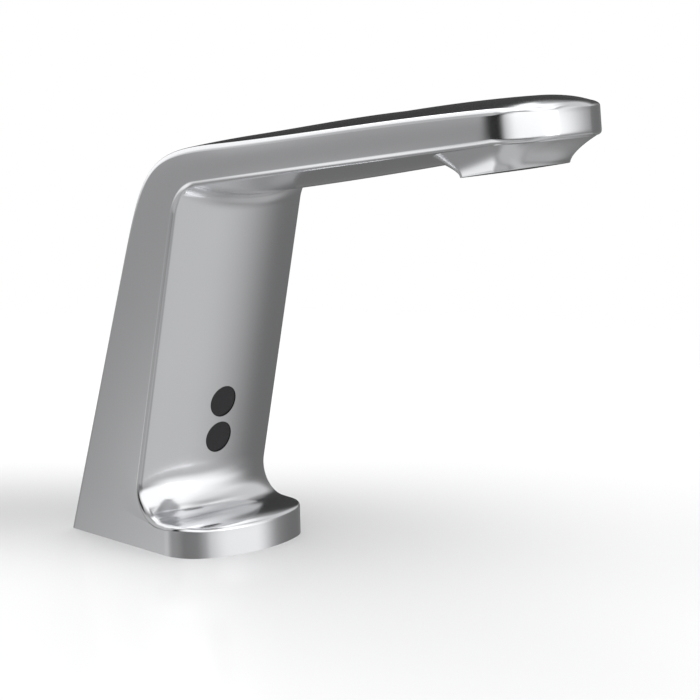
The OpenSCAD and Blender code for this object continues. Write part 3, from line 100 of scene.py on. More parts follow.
class CastingSizes(bpy.types.PropertyGroup):
    """Sizes of the one-piece casting: foot, column and spout."""

    body_w: length("Width", "Width of the foot and the column", 54)
    edge_r: length("Edge fillet", "Radius of the fillet along the long edges", 2)
    front_bow_r: length("Front bow", "Radius of the bow across the column front", 73)
    back_bow_r: length("Back bow", "Radius of the bow across the back face", 400)
    wall: length("Wall", "Wall of the casting", 3)
    side_crown: angle("Side crown", "Turn of the polished sides towards their edges", 1.2)
    spout_crown: angle("Spout crown", "Turn of the sides of the spout towards their edges", 2.6)
    nose_turn: angle("Nose turn", "Turn of the polish on the sides at the nose corners", 8)
    nose_face_crown: angle("Nose face crown", "Turn of the nose towards its upper and lower edge", 2.5)
    nose_polish: count("Nose polish", "Passes that soften the normals of the nose", 8)
    nose_strip: length("Nose strip", "Width of the strip on the sides that turns towards the nose", 5)
    crown_from: length("Crown start", "Back edge to where the side crown grows into that of the spout", 50)
    crown_run: length("Crown run", "Distance over which the side crown grows", 30)
    front_lean: angle("Front lean", "Lean of the column front from upright", 11.7)
    back_lean: angle("Back lean", "Lean of the back face from upright", 17.5)
    column_depth: length("Column depth", "Back edge to column front edge at the deck", 28)
    axis_back: length("Axis", "Back edge to the deck hole axis", 22)
    foot_side_depth: length("Foot side depth", "Depth of the flat side of the foot", 45.8)
    foot_side_h: length("Foot side height", "Height of the flat side at the foot front", 8.1)
    foot_corner_r: length("Foot corner", "Plan radius of the front corners of the foot", 13.5)
    foot_bow_r: length("Foot bow", "Plan radius of the bowed front of the foot", 47)
    foot_fall: angle("Foot fall", "Fall of the top of the foot towards its front", 2.5)
    foot_crown_r: length("Foot crown", "Crown radius across the top of the foot", 300)
    foot_sweep_r: length("Foot sweep", "Radius from foot to column, at the edges", 11)
    foot_sweep_mid_r: length("Foot sweep middle", "Radius from foot to column, in the middle", 15.5)
    nose_w: length("Nose width", "Width of the spout at its nose", 39)
    nose_side_t: length("Nose reach", "Back edge to the nose corners", 177.5)
    spout_rise: angle("Spout rise", "Rise of the underside of the spout", 10.6)
    inner_corner_z: length("Inner corner height", "Where underside and column edges meet", 119)
    inner_corner_r: length("Inner corner", "Radius of the inner corner at the side edge", 14)
    under_bow_r: length("Underside bow", "Radius of the bow across the underside", 77)
    top_bow_r: length("Top crown", "Crown radius across the top of the spout", 110)
    nose_crown_r: length("Nose crown", "Crown radius across the top of the nose", 70)
    nose_corner_r: length("Nose corner", "Plan radius of the nose corners", 14)
    nose_bow_r: length("Nose bow", "Plan radius of the bowed front of the nose", 69)
    nose_lean: angle("Nose lean", "Lean of the nose face from square to the underside", 3.5)
    nose_set: length("Nose set", "Upper edge of the nose behind its lower edge", 0.8)
    nose_top_z: length("Nose height", "Height of the flat side at the top of the nose", 148.6)
    turn_z: length("Turn start", "Height where the back face starts to turn over", 88.7)
    shoulder_z: length("Shoulder height", "Height of the shoulder where the turn ends", 130.9)
    shoulder_t: length("Shoulder reach", "Distance of the shoulder from the back edge", 71.5)
    shoulder_rise: angle("Shoulder rise", "Rise of the top at the shoulder", 8.8)
    top_rise: angle("Top rise", "Rise of the top at the nose", 8.1)
    turn_pull: length("Turn pull", "Handle of the turn at the back face", 35.4)
    shoulder_pull: length("Shoulder pull", "Handle of the turn at the shoulder", 31.9)
    under_from: length("Underside start", "Back edge to where the underside starts to flatten", 150)
    under_flat_r: length("Underside flat", "Radius of the bow across the underside at the nose", 2000)
    top_from: length("Top crown start", "Back edge to where the crown of the top starts to grow", 35)
    top_run: length("Top crown run", "Distance over which the crown of the top grows", 90)
    nose_crown_from: length("Nose crown start", "Back edge to where the top turns to the nose crown", 130)


class OutletSizes(bpy.types.PropertyGroup):
    """Sizes of the flared collar under the nose and of what is open inside it."""

    outlet_t: length("Outlet reach", "Back edge to the outlet centre", 170.8)
    outlet_z: length("Outlet height", "Height of the outlet rim at its centre", 131.7)
    outlet_tilt: angle("Outlet tilt", "Tilt of the outlet plane", 11.5)
    rim_w: length("Rim width", "Width of the outlet rim", 29.4)
    rim_back_t: length("Rim back", "Back edge of the tap to the back of the rim", 160.2)
    rim_front_t: length("Rim front", "Back edge of the tap to the front of the rim", 181.4)
    rim_back_r: length("Rim back corner", "Radius of the back corners of the rim", 2.4)
    rim_front_r: length("Rim front corner", "Radius of the front corners of the rim", 7)
    rim_bow_r: length("Rim bow", "Radius of the bowed front of the rim", 40)
    rim_back_bow_r: length("Rim back bow", "Radius of the nearly straight back of the rim", 400)
    rim_ease: length("Rim ease", "Radius of the eased outer edge of the rim", 0.35)
    flare_inset: length("Flare inset", "Edge of the flare inside the outline of the nose", 0.9)
    flare_t: length("Flare start", "Back edge of the tap to where the flare leaves the sides", 160)
    flare_back_r: length("Flare corner", "Radius of the back corners of the flare", 10)
    flare_bow_r: length("Flare bow", "Radius of the back edge of the flare", 60)
    flare_sink: length("Flare sink", "Depth of the edge of the flare inside the fillet of the nose", 0.4)
    flare_into: length("Flare overlap", "Height of the collar that stands inside the spout", 1.5)
    rim_wall: length("Rim wall", "Wall of the collar at its rim", 1.6)
    recess_h: length("Recess", "Depth of the open recess under the jet plate", 1.2)
    recess_back_r: length("Recess corner", "Radius of the back corners of the recess", 2)
    jet_bore_d: length("Jet bore", "Bore that takes the jet insert", 16.5)
    jet_top: length("Jet depth", "Depth of the jet bore above the rim", 6)
    bush_bore_d: length("Bush bore", "Bore that takes the nozzle bush", 15.4)
    bush_top: length("Bush depth", "Depth of the bush bore above the rim", 16.4)
    tube_rise: length("Tube height", "Height of the water tube bore above the rim", 11.9)
    tube_bore_d: length("Tube bore", "Bore that takes the water tube", 7)
    tube_bore_l: length("Tube bore length", "Length of the bore of the water tube", 16)


class SensorSizes(bpy.types.PropertyGroup):
    """Sizes of the two lens holes in the column front and of the seat behind them."""

    lens_d: length("Lens", "Diameter of each sensor lens", 10.4)
    lens_pitch: length("Lens pitch", "Distance between the lens centres", 12.3)
    sensor_z: length("Sensor height", "Height midway between the lenses", 39.5)
    lens_gap: length("Lens gap", "Gap round each lens in its hole", 0.05)
    hole_low: length("Hole cut", "Depth down to which the lens holes are cut", 5)
    seat_w: length("Seat width", "Width of the seat of the sensor housing", 21.2)
    seat_l: length("Seat length", "Length of the seat of the sensor housing", 26.4)
    seat_d: length("Seat depth", "Depth of the seat below the front face", 2.9)
    seat_r: length("Seat corner", "Radius of the corners of the seat", 0.2)
    seat_low: length("Seat cut", "Depth down to which the seat is cut", 5.2)
    lug_x: length("Lug place", "Distance of the screw lugs from the middle", 13.5)
    lug_d: length("Lug", "Diameter of the screw lugs", 6.5)
    lug_bore_d: length("Lug bore", "Bore of the screw lugs", 3)
    lug_bore_end: length("Lug bore end", "Depth of the blind end of the lug bores", 3)
    lug_top: length("Lug top", "Depth of the outer end of the screw lugs", 2.6)
    lug_low: length("Lug foot", "Depth of the inner end of the screw lugs", 7)


class BaseSizes(bpy.types.PropertyGroup):
    """Sizes of the underside: pocket of the base plate, gasket groove, screw bosses and hollow."""

    plate_w: length("Plate width", "Width of the base plate", 45.6)
    plate_back: length("Plate back", "Back edge of the tap to the back of the plate", 3.3)
    plate_depth: length("Plate depth", "Depth of the base plate", 51.4)
    plate_back_r: length("Plate back corner", "Radius of the back corners of the plate", 3)
    plate_front_r: length("Plate front corner", "Radius of the front corners of the plate", 10.5)
    plate_h: length("Plate height", "Thickness of the base plate", 6)
    plate_gap: length("Plate gap", "Gap round the base plate", 0.25)
    groove_in: length("Groove distance", "Plate edge to the gasket groove", 1.5)
    groove_w: length("Groove width", "Width of the gasket groove", 1.6)
    groove_h: length("Groove depth", "Depth of the gasket groove", 1)
    screw_x: length("Screw place", "Distance of the plate screws from the middle", 18.5)
    screw_t0: length("Rear screws", "Back edge of the tap to the rear screws", 9)
    screw_t1: length("Front screws", "Back edge of the tap to the front screws", 31)
    screw_bore_d: length("Screw bore", "Bore for the plate screws", 4)
    boss_end: length("Boss end", "Metal left above the bores of the plate screws", 1)
    boss_low: length("Boss foot", "Height of the lower end of the screw bosses", 5)
    boss_d: length("Boss", "Diameter of the screw bosses", 9)
    boss_top: length("Boss height", "Height of the screw bosses above the deck", 12)
    hollow_half: length("Hollow", "Half width of the hollow at the deck", 22.5)
    hollow_reach: amount("Hollow reach", "Share of the underside of the spout over which it is hollow", 0.83)
    hollow_top: amount("Hollow top", "Share of the top of the spout over which it is hollow", 0.855)
    spout_thin: length("Thin spout", "What the wall of the spout is thinner than that of the column", 0.5)


class SpringSizes(bpy.types.PropertyGroup):
    """Wire and turns of the springs of the plunger and of the check valve. Their place, width and
    length come from the solids."""

    plunger_wire: length("Plunger spring wire", "Wire of the plunger spring", 0.5)
    plunger_turns: count("Plunger spring turns", "Turns of the plunger spring", 7)
    check_wire: length("Check spring wire", "Wire of the check valve spring", 0.45)
    check_turns: count("Check spring turns", "Turns of the check valve spring", 4)


class Finishes(bpy.types.PropertyGroup):
    """Colours and gloss of the finishes."""

    chrome: colour("Chrome", "Colour of the plated casting", (0.77, 0.775, 0.79))
    chrome_rough: amount("Chrome roughness", "Roughness of the plated casting", 0.15)
    # Painted shade: the dark, dull colour that the cut inner faces get stands in for the shade in the
    # recesses, bores and hollow of the casting.
    inner_shade: colour("Bare metal", "Colour of the unplated inner faces", (0.11, 0.11, 0.115))
    inner_shade_rough: amount("Bare metal roughness", "Roughness of the unplated inner faces", 0.55)
    lens: colour("Lens", "Colour of the sensor lenses", (0.012, 0.012, 0.014))
    lens_rough: amount("Lens roughness", "Roughness of the sensor lenses", 0.22)
    floor: colour("Floor", "Colour of the floor", (0.985, 0.985, 0.99))


class Studio(bpy.types.PropertyGroup):
    """Camera and light."""

    lens_mm: FloatProperty(name="Lens", description="Focal length on a 36 mm frame", default=132.97)
    camera_x: length("Camera x", "Place of the camera", -532.7)
    camera_y: length("Camera y", "Place of the camera", -633.1)
    camera_z: length("Camera z", "Place of the camera", 222.6)
    camera_yaw: angle("Camera turn", "Turn of the view from +y towards +x", 43.95)
    camera_pitch: angle("Camera fall", "Fall of the view below level", 11.2)
    floor_r: length("Floor", "Radius of the floor", 450)
    fade_from: length("Fade start", "Distance at which the floor starts to fade into the white", 180)
    fade_to: length("Fade end", "Distance at which the floor has faded", 420)
    plain: amount("Plain light", "Brightness of the studio for matt surfaces", 1.0)


# Shape functions. Points are (t, z) pairs in metres, directions are unit pairs.

def dir2(a):
    """Direction at the angle a above forward."""
    return np.array([math.cos(a), math.sin(a)])


def unit(v):
    """Vectors divided by their lengths."""
    return v / np.linalg.norm(v, axis=-1, keepdims=True)


def meet(p, d, q, e):
    """Point where the line from p along d meets the line from q along e."""
    return p + d * ((q[0] - p[0]) * e[1] - (q[1] - p[1]) * e[0]) / (d[0] * e[1] - d[1] * e[0])


def line(a, b, n):
    """n + 1 points at equal steps from a to b."""
    return a + (b - a) * np.linspace(0, 1, n + 1)[:, None]


def corner_arc(b, da, dc, r, n):
    """Arc of radius r that rounds the corner b between the directions da and dc."""
    half = math.acos(float(da @ dc)) / 2
    run = r / math.tan(half)
    c = b + unit(da + dc) * r / math.sin(half)
    p, q = b + da * run - c, b + dc * run - c
    a0, a1 = math.atan2(p[1], p[0]), math.atan2(q[1], q[0])
    turn = (a1 - a0 + math.pi) % (2 * math.pi) - math.pi
    a = a0 + turn * np.linspace(0, 1, n + 1)
    return c + r * np.stack([np.cos(a), np.sin(a)], -1)


def cubic(a, b, c, d, u):
    """Cubic curve with end points a, d and handles b, c at the steps u, and its outward normals (left
    of travel)."""
    u = np.asarray(u)[:, None]
    p = (1 - u) ** 3 * a + 3 * u * (1 - u) ** 2 * b + 3 * u * u * (1 - u) * c + u ** 3 * d
    v = unit((1 - u) ** 2 * (b - a) + 2 * u * (1 - u) * (c - b) + u * u * (d - c))
    return p, np.stack([-v[:, 1], v[:, 0]], -1)


def smooth(k):
    """Smooth step from 0 to 1, held at both ends."""
    k = np.clip(k, 0, 1)
    return k * k * (3 - 2 * k)


class Casting:
    """The named lines of the casting, worked out from its sizes."""

    def __init__(self, s):
        self.s = s
        self.col_dir = dir2(math.pi / 2 - s.front_lean)
        self.col_out = np.array([self.col_dir[1], -self.col_dir[0]])
        self.low_dir = dir2(s.spout_rise)
        self.low_out = np.array([self.low_dir[1], -self.low_dir[0]])
        self.foot_dir = dir2(-s.foot_fall)
        self.foot_out = np.array([-self.foot_dir[1], self.foot_dir[0]])
        self.back_dir = dir2(math.pi / 2 - s.back_lean)
        self.nose_out = dir2(s.spout_rise - s.nose_lean)
        self.foot_corner = np.array([s.foot_side_depth, s.foot_side_h])
        self.col_foot = np.array([s.column_depth, 0.0])
        self.inner = meet(self.col_foot, self.col_dir, np.array([0, s.inner_corner_z]), np.array([1.0, 0]))
        self.foot_meet = meet(self.foot_corner, self.foot_dir, self.col_foot, self.col_dir)
        self.nose_low = self.inner + self.low_dir * (s.nose_side_t - self.inner[0]) / self.low_dir[0]
        self.nose_top = np.array([s.nose_side_t - s.nose_set, s.nose_top_z])
        self.shoulder = np.array([s.shoulder_t, s.shoulder_z])
        self.turn_start = self.back_dir * s.turn_z / self.back_dir[1]

    def crown_at(self, t):
        """Turn of the polish at the edges of the sides: that of the column, then that of the spout."""
        s = self.s
        return s.side_crown + (s.spout_crown - s.side_crown) * smooth((t - s.crown_from) / s.crown_run)

    def top_curve(self, u):
        """Side outline over the spout, from the shoulder to the top of the nose: a cubic curve whose
        handles are a third of its span."""
        run = np.linalg.norm(self.nose_top - self.shoulder) / 3
        return cubic(self.shoulder, self.shoulder + dir2(self.s.shoulder_rise) * run,
                     self.nose_top - dir2(self.s.top_rise) * run, self.nose_top, u)

    def turn_curve(self, u):
        """Side outline of the turn, from the back face to the shoulder: a cubic curve."""
        s = self.s
        return cubic(self.turn_start, self.turn_start + self.back_dir * s.turn_pull,
                     self.shoulder - dir2(s.shoulder_rise) * s.shoulder_pull, self.shoulder, u)

    def half_at(self, t):
        """Half width at t: constant to the shoulder, then falling with the square of the way on."""
        s = self.s
        u = np.maximum(0, (t - s.shoulder_t) / (s.nose_side_t - s.shoulder_t))
        return s.body_w / 2 - (s.body_w - s.nose_w) / 2 * u * u

    def half_slope(self, t):
        """Change of the half width with t."""
        s = self.s
        run = s.nose_side_t - s.shoulder_t
        return -(s.body_w - s.nose_w) * np.maximum(0, (t - s.shoulder_t) / run) / run

    def bow_height(self, x, t, r, q):
        """Height above the edge line, at x across, of a bow of radius q that runs into fillets of
        radius r, where the half width is that at t."""
        a = np.arcsin((self.half_at(t) - r) / (q - r))
        return r * np.cos(a) - q * np.cos(a) + np.sqrt(q * q - x * x)

    def under_bow(self, t):
        """Bow radius across the underside: constant, then flattening out under the nose."""
        s = self.s
        g = smooth((t - s.under_from) / (s.nose_side_t - s.under_from))
        return 1 / ((1 - g) / s.under_bow_r + g / s.under_flat_r)

    def top_bow(self, t):
        """Bow radius over the top: flat at the back, crowned along the spout, more at the nose."""
        s = self.s
        f = smooth((t - s.top_from) / s.top_run)
        g = np.clip((t - s.nose_crown_from) / (s.nose_side_t - s.nose_crown_from), 0, 1)
        return 1 / (((1 - f) / s.back_bow_r + f / s.top_bow_r) * (1 - g) + g / s.nose_crown_r)


# Steps across a fillet, across the bow beside it, across a flat side, and along each stretch of the
# side outline.
FILLET_N, BOW_N = 14, 22
SIDE_N = FILLET_N + BOW_N
ACROSS = 14
ALONG = {"wall": 6, "rim": 26, "foot_top": 6, "sweep": 26, "column": 44, "inner": 36, "low": 50,
         "nose_low": 24, "nose_face": ACROSS, "nose_top": 24, "top": 40, "turn": 60, "back": 68}
# What the wall of the foot draws in over its height, and the powers of the sine and the cosine with
# which the skin rolls over the rim of the foot and under the nose: 1 is round, less is squarer.
DRAFT = 0.03
RIM_ROLL = 0.74
UNDER_ROLL, UNDER_FALL = 0.35, 0.8
# Power of the way from the middle to an edge with which the polish turns and the sweep narrows, and
# the rows before and behind the nose that its softened normals run out over.
EDGE_POWER = 4
RUN_OUT = 6


def section(w, r, q):
    """Half section from side to centre, one row for each w, r, q: a fillet of radius r that starts
    square to the flat side, then a bow of radius q centred on the middle plane."""
    a = np.arcsin((w - r) / (q - r))
    j = np.arange(FILLET_N)
    f = (np.pi / 2 - a) * j / FILLET_N
    g = a * (SIDE_N - np.arange(FILLET_N, SIDE_N + 1)) / BOW_N
    x = np.concatenate([w - r + r * np.cos(f), q * np.sin(g)], 1)
    h = np.concatenate([r * np.sin(f), (r - q) * np.cos(a) + q * np.cos(g)], 1)
    return x, h


def rows_of(k, s, parts):
    """Rows of skin at the edge points s. Each part is a direction, a fillet, a bow, a share of the
    height and a share of the width; the section of each part is laid along its direction."""
    w = k.half_at(s[:, 0])[:, None]
    n = len(s)
    x = np.zeros((n, SIDE_N + 1))
    t = np.repeat(s[:, :1], SIDE_N + 1, 1)
    z = np.repeat(s[:, 1:], SIDE_N + 1, 1)
    for d, r, q, hs, ws in parts:
        col = [np.broadcast_to(np.asarray(v, float), (n,))[:, None] for v in (r, q, hs, ws)]
        d = np.broadcast_to(d, (n, 2))
        px, ph = section(w, col[0], col[1])
        x = x + px * col[3]
        t = t + d[:, :1] * ph * col[2]
        z = z + d[:, 1:] * ph * col[2]
    half = np.stack([x, t, z], -1)
    other = half[:, :-1][:, ::-1]
    return np.concatenate([half * [-1, 1, 1], other], 1)


def casting_rows(k, sweep_r):
    """Skin of the casting as rows round the side outline, from the foot front up the column, out
    under the spout, round the nose, back over the top and down the back. Where the outline turns on
    one edge point, the row blends the section of one face into that of the next by the cosine and
    the sine of the turn. Gives the rows and the numbers of rows up to the named places."""
    s = k.s
    blocks, marks = [], {}

    def add(name, pts, parts):
        """Lay the rows of one stretch, and note how many rows there are up to its end."""
        blocks.append(rows_of(k, pts, parts))
        marks[name] = sum(len(b) for b in blocks)

    def way(name):
        """Equal steps from 0 to 1 along a stretch."""
        return np.linspace(0, 1, ALONG[name] + 1)

    def still(point, b):
        """One edge point, once for each step of the turn."""
        return np.repeat(point[None], len(b), 0)

    nose = (k.nose_out, s.nose_corner_r, s.nose_bow_r)
    u = way("wall")[:-1, None]
    add("wall", k.foot_corner * [1, 0] * (1 - u) + k.foot_corner * u,
        [(np.concatenate([1 - DRAFT * u, 0 * u], 1), s.foot_corner_r, s.foot_bow_r, 1, 1)])
    b = way("rim") * np.pi / 2
    add("rim", still(k.foot_corner, b),
        [((1 - DRAFT, 0), s.foot_corner_r, s.foot_bow_r, np.cos(b) ** RIM_ROLL, np.cos(b) ** 2),
         (k.foot_out, s.edge_r, s.foot_crown_r, np.sin(b) ** RIM_ROLL, np.sin(b) ** 2)])
    arc = corner_arc(k.foot_meet, k.foot_dir, k.col_dir, sweep_r, ALONG["sweep"])
    add("foot_top", line(k.foot_corner, arc[0], ALONG["foot_top"])[1:-1],
        [(k.foot_out, s.edge_r, s.foot_crown_r, 1, 1)])
    u = way("sweep")
    n = unit(k.foot_out * (1 - u[:, None]) + k.col_out * u[:, None])
    bow = 1 / ((1 - smooth(u)) / s.foot_crown_r + smooth(u) / s.front_bow_r)
    add("sweep", arc, [(n, s.edge_r, bow, 1, 1)])
    inner = corner_arc(k.inner, -k.col_dir, k.low_dir, s.inner_corner_r, ALONG["inner"])
    add("column", line(arc[-1], inner[0], ALONG["column"])[1:-1],
        [(k.col_out, s.edge_r, s.front_bow_r, 1, 1)])
    u = way("inner")
    n = unit(k.col_out * (1 - u[:, None]) + k.low_out * u[:, None])
    add("inner", inner, [(n, s.edge_r, s.front_bow_r * (1 - u) + s.under_bow_r * u, 1, 1)])
    low = line(inner[-1], k.nose_low, ALONG["low"])[1:]
    add("low", low, [(k.low_out, s.edge_r, k.under_bow(low[:, 0]), 1, 1)])
    b = way("nose_low")[1:] * np.pi / 2
    share = np.sin(b) ** UNDER_ROLL
    add("nose_low", still(k.nose_low, b),
        [nose + (share, share ** 2),
         (k.low_out, s.edge_r, s.under_flat_r, np.cos(b) ** UNDER_FALL, 1 - share ** 2)])
    add("nose_face", line(k.nose_low, k.nose_top, ALONG["nose_face"])[1:-1], [nose + (1, 1)])
    top, top_n = k.top_curve(way("top"))
    b = way("nose_top") * np.pi / 2
    add("nose_top", still(k.nose_top, b),
        [nose + (np.cos(b), np.cos(b) ** 2),
         (top_n[-1], s.edge_r, k.top_bow(k.nose_top[0]), np.sin(b), np.sin(b) ** 2)])
    add("top", top[-2::-1], [(top_n[-2::-1], s.edge_r, k.top_bow(top[-2::-1, 0]), 1, 1)])
    over, over_n = k.turn_curve(way("turn"))
    add("turn", over[-2::-1], [(over_n[-2::-1], s.edge_r, k.top_bow(over[-2::-1, 0]), 1, 1)])
    u = way("back")[1:, None]
    add("back", k.turn_start * (1 - u),
        [(over_n[0] * (1 - u ** 3) + np.array([-1.0, 0]) * u ** 3, s.edge_r, s.back_bow_r, 1, 1)])
    return np.concatenate(blocks), marks


def grid_normals(p):
    """Normals of a grid of points from the central differences along its rows and its columns."""
    n = np.cross(np.gradient(p, axis=1), np.gradient(p, axis=0))
    return n / np.maximum(np.linalg.norm(n, axis=-1, keepdims=True), 1e-12)


def grid_faces(rows, cols, base=0, loop=False):
    """Four-cornered faces of a grid of rows by cols points that starts at the index base."""
    a = np.arange(rows * cols).reshape(rows, cols) + base
    b = np.roll(a, -1, 1) if loop else a[:, 1:]
    a = a if loop else a[:, :-1]
    return np.stack([a[:-1], b[:-1], b[1:], a[1:]], -1).reshape(-1, 4)


# Distance in metres below which points of different grids are one, and how far a cutting tool stands
# out of what it cuts.
WELD = 2e-7
CLEAR = 1 * MM


class Sheets:
    """Grids of points and normals that are collected into one mesh and welded where they meet."""

    def __init__(self):
        self.points, self.normals, self.faces, self.count = [], [], [], 0

    def add(self, p, n, flip=False, loop=False):
        """Add a grid of points and its normals; a loop closes each row on itself."""
        f = grid_faces(p.shape[0], p.shape[1], self.count, loop)
        self.faces.append(f[:, ::-1] if flip else f)
        self.points.append(p.reshape(-1, 3))
        self.normals.append(np.broadcast_to(n, p.shape).reshape(-1, 3))
        self.count += p.shape[0] * p.shape[1]

    def take(self, other):
        """Add the grids of other sheets."""
        self.points += other.points
        self.normals += other.normals
        self.faces += [f + self.count for f in other.faces]
        self.count += other.count

    def mesh(self, name, inner=0.0):
        """One mesh with the normals, and the mark of an inner face that gets the painted shade, kept at its
        corners.
        """
        faces = np.concatenate(self.faces)
        mesh = bpy.data.meshes.new(name)
        mesh.from_pydata(np.concatenate(self.points).tolist(), [], faces.tolist())
        corner = np.empty(len(mesh.loops), int)
        mesh.loops.foreach_get("vertex_index", corner)
        kept = mesh.attributes.new("way", "FLOAT_VECTOR", "CORNER")
        kept.data.foreach_set("vector", np.concatenate(self.normals)[corner].ravel().astype(np.float32))
        mark = mesh.attributes.new("inner", "FLOAT", "CORNER")
        mark.data.foreach_set("value", np.full(len(corner), inner, np.float32))
        bm = bmesh.new()
        bm.from_mesh(mesh)
        bmesh.ops.remove_doubles(bm, verts=bm.verts, dist=WELD)
        bmesh.ops.dissolve_degenerate(bm, edges=bm.edges, dist=WELD / 20)
        bm.to_mesh(mesh)
        bm.free()
        return mesh


def to_xyz(p, back):
    """Points given as x, t, z turned into x, y, z."""
    return np.stack([p[..., 0], back - p[..., 1], p[..., 2]], -1)


def skin_sheets(k):
    """The closed outer skin: the rows of the casting, the two flat sides laid as a grid between the
    front outline and the back outline, and the face on the deck between the first and last row. The
    sweep widens from the sides to the middle with 1 - (way out) ** EDGE_POWER. The normals turn
    towards the edges, as polishing leaves them, while the points stay."""
    s = k.s
    rows, marks = casting_rows(k, s.foot_sweep_r)
    wide = casting_rows(k, s.foot_sweep_mid_r)[0]
    off_middle = np.abs(rows[..., :1]) / np.abs(rows[:, :1, :1])
    rows = rows + (wide - rows) * (1 - np.minimum(off_middle, 1) ** EDGE_POWER)
    back = s.axis_back
    sheets = Sheets()
    p = to_xyz(rows, back)
    n = grid_normals(p)
    for col, sign in ((0, -1), (-1, 1)):
        slope = k.half_slope(rows[:, col, 1])
        n[:, col] = unit(np.stack([np.full(len(rows), sign), slope, 0 * slope], -1))
    out = unit(n[:, n.shape[1] // 2] * [0, 1, 1])
    ahead = to_xyz(np.array([0, *k.nose_out]), 0.0)
    nose = np.zeros(len(rows))
    nose[marks["low"]:marks["nose_top"]] = 1
    facing = nose * np.clip(out @ ahead, 0, 1) ** EDGE_POWER
    turn = k.crown_at(rows[:, 0, 1]) * (1 - facing) + s.nose_turn * facing
    n = unit(n + (turn[:, None] * np.abs(n[..., 0]) ** EDGE_POWER)[..., None] * out[:, None])
    rise = np.clip((rows[:, 0, 2] - k.nose_low[1]) / (k.nose_top[1] - k.nose_low[1]), 0, 1)
    lift = (s.nose_face_crown * nose * (2 * rise - 1))[:, None]
    n = unit(n + (lift * np.clip(n @ ahead, 0, 1) ** EDGE_POWER)[..., None] * np.array([0, 0, 1.0]))
    near = n[marks["low"] - RUN_OUT:marks["nose_top"] + RUN_OUT]
    for _ in range(s.nose_polish):
        near[1:-1, 1:-1] = unit(near[:-2, 1:-1] + near[2:, 1:-1] + near[1:-1, :-2] + near[1:-1, 2:]
                                + 2 * near[1:-1, 1:-1])
    sheets.add(p, n)
    spots = np.concatenate([np.arange(0, marks["wall"] + 1), np.arange(marks["rim"], marks["low"])])
    ends = np.arange(marks["back"] - 1, marks["nose_top"] - 2, -1)
    front, rear = rows[spots, 0, 1:], rows[ends, 0, 1:]
    m = np.linspace(0, 1, ACROSS + 1)[None, :, None]
    tz = front[:, None] * (1 - m) + rear[:, None] * m
    crown = np.maximum(2 * m - 1, 0) * out[ends][:, None] + np.maximum(1 - 2 * m, 0) * out[spots][:, None]
    corner = smooth(1 - (tz[-1:, :, :1] - tz[..., :1]) / s.nose_strip)
    bent = k.crown_at(tz[..., :1]) * crown + s.nose_turn * corner * ahead
    for sign in (-1, 1):
        slope = k.half_slope(tz[..., :1])
        side = to_xyz(np.concatenate([sign * k.half_at(tz[..., :1]), tz], -1), back)
        normal = unit(np.concatenate([sign + 0 * slope, slope, 0 * slope], -1) + bent)
        sheets.add(side, normal, flip=sign < 0)
    m = m[0][:, :, None]
    deck = p[0][None] * (1 - m) + p[-1][None] * m
    sheets.add(deck, np.array([0.0, 0, -1]), flip=True)
    return sheets


def loop_normals(p):
    """Normals of a grid whose columns close on themselves, outwards where the loop runs against the
    clock as seen from the side that the rows run towards."""
    across = np.roll(p, -1, 1) - np.roll(p, 1, 1)
    n = np.cross(across, np.gradient(p, axis=0))
    return n / np.maximum(np.linalg.norm(n, axis=-1, keepdims=True), 1e-12)


def placed(p, frame_matrix):
    """Points or directions turned by the 3 by 3 columns of a frame, and moved to its origin."""
    turn, origin = frame_matrix
    return p @ turn.T + origin


def outlet_frame(k, o):
    """Frame at the middle of the outlet: z along the axis of the water, up into the spout."""
    c, s = math.cos(o.outlet_tilt), math.sin(o.outlet_tilt)
    turn = np.array([[1, 0, 0], [0, c, s], [0, -s, c]])
    return turn, np.array([0, k.s.axis_back - o.outlet_t, o.outlet_z])


def sensor_frame(k, w):
    """Frame on the column front midway between the lenses: y up the column, z out of it."""
    s = k.s
    lean = k.col_dir[0] / k.col_dir[1]
    bow = k.bow_height(0.0, 0.0, s.edge_r, s.front_bow_r)
    t = s.column_depth + w.sensor_z * lean + bow * (k.col_out[0] - k.col_out[1] * lean)
    c, n = math.cos(s.front_lean), math.sin(s.front_lean)
    return np.array([[1, 0, 0], [0, -n, -c], [0, c, -n]]), np.array([0, s.axis_back - t, w.sensor_z])


def solid_of_loops(loops, frame_matrix, inward=False):
    """Closed solid through loops of points, capped flat at both ends. The walls keep their smooth
    normals, turned inwards for a tool that cuts."""
    turn, _ = frame_matrix
    sign = -1.0 if inward else 1.0
    sheets = Sheets()
    p = placed(loops, frame_matrix)
    sheets.add(p, sign * loop_normals(p), loop=True)
    for end, way in ((0, -1.0), (-1, 1.0)):
        cap = np.stack([p[end], np.repeat(p[end].mean(0)[None], p.shape[1], 0)])
        n = turn @ np.array([0, 0, way * sign])
        sheets.add(cap, n, flip=way < 0, loop=True)
    return sheets


def circle(r, n=96):
    """n points at equal steps round a circle."""
    a = 2 * np.pi * np.arange(n) / n
    return np.stack([r * np.cos(a), r * np.sin(a)], -1)


def round_box(x0, x1, y0, y1, r, n=12):
    """Outline of a rectangle whose four corners have the radii r, against the clock."""
    a = np.linspace(0, np.pi / 2, n + 1)
    arc = np.stack([np.cos(a), np.sin(a)], -1)
    quarter = [(x1, y1, 1, 1), (x0, y1, -1, 1), (x0, y0, -1, -1), (x1, y0, 1, -1)]
    out = []
    for (x, y, sx, sy), q in zip(quarter, r):
        p = (arc if sx * sy > 0 else arc[::-1]) * [sx, sy]
        out.append(p * q + [x - sx * q, y - sy * q])
    return np.concatenate(out)


def raised(outline, heights):
    """The same outline at each height, as loops."""
    flat = np.repeat(outline[None], len(heights), 0)
    z = np.broadcast_to(np.asarray(heights, float)[:, None, None], flat.shape[:2] + (1,))
    return np.concatenate([flat, z], -1)


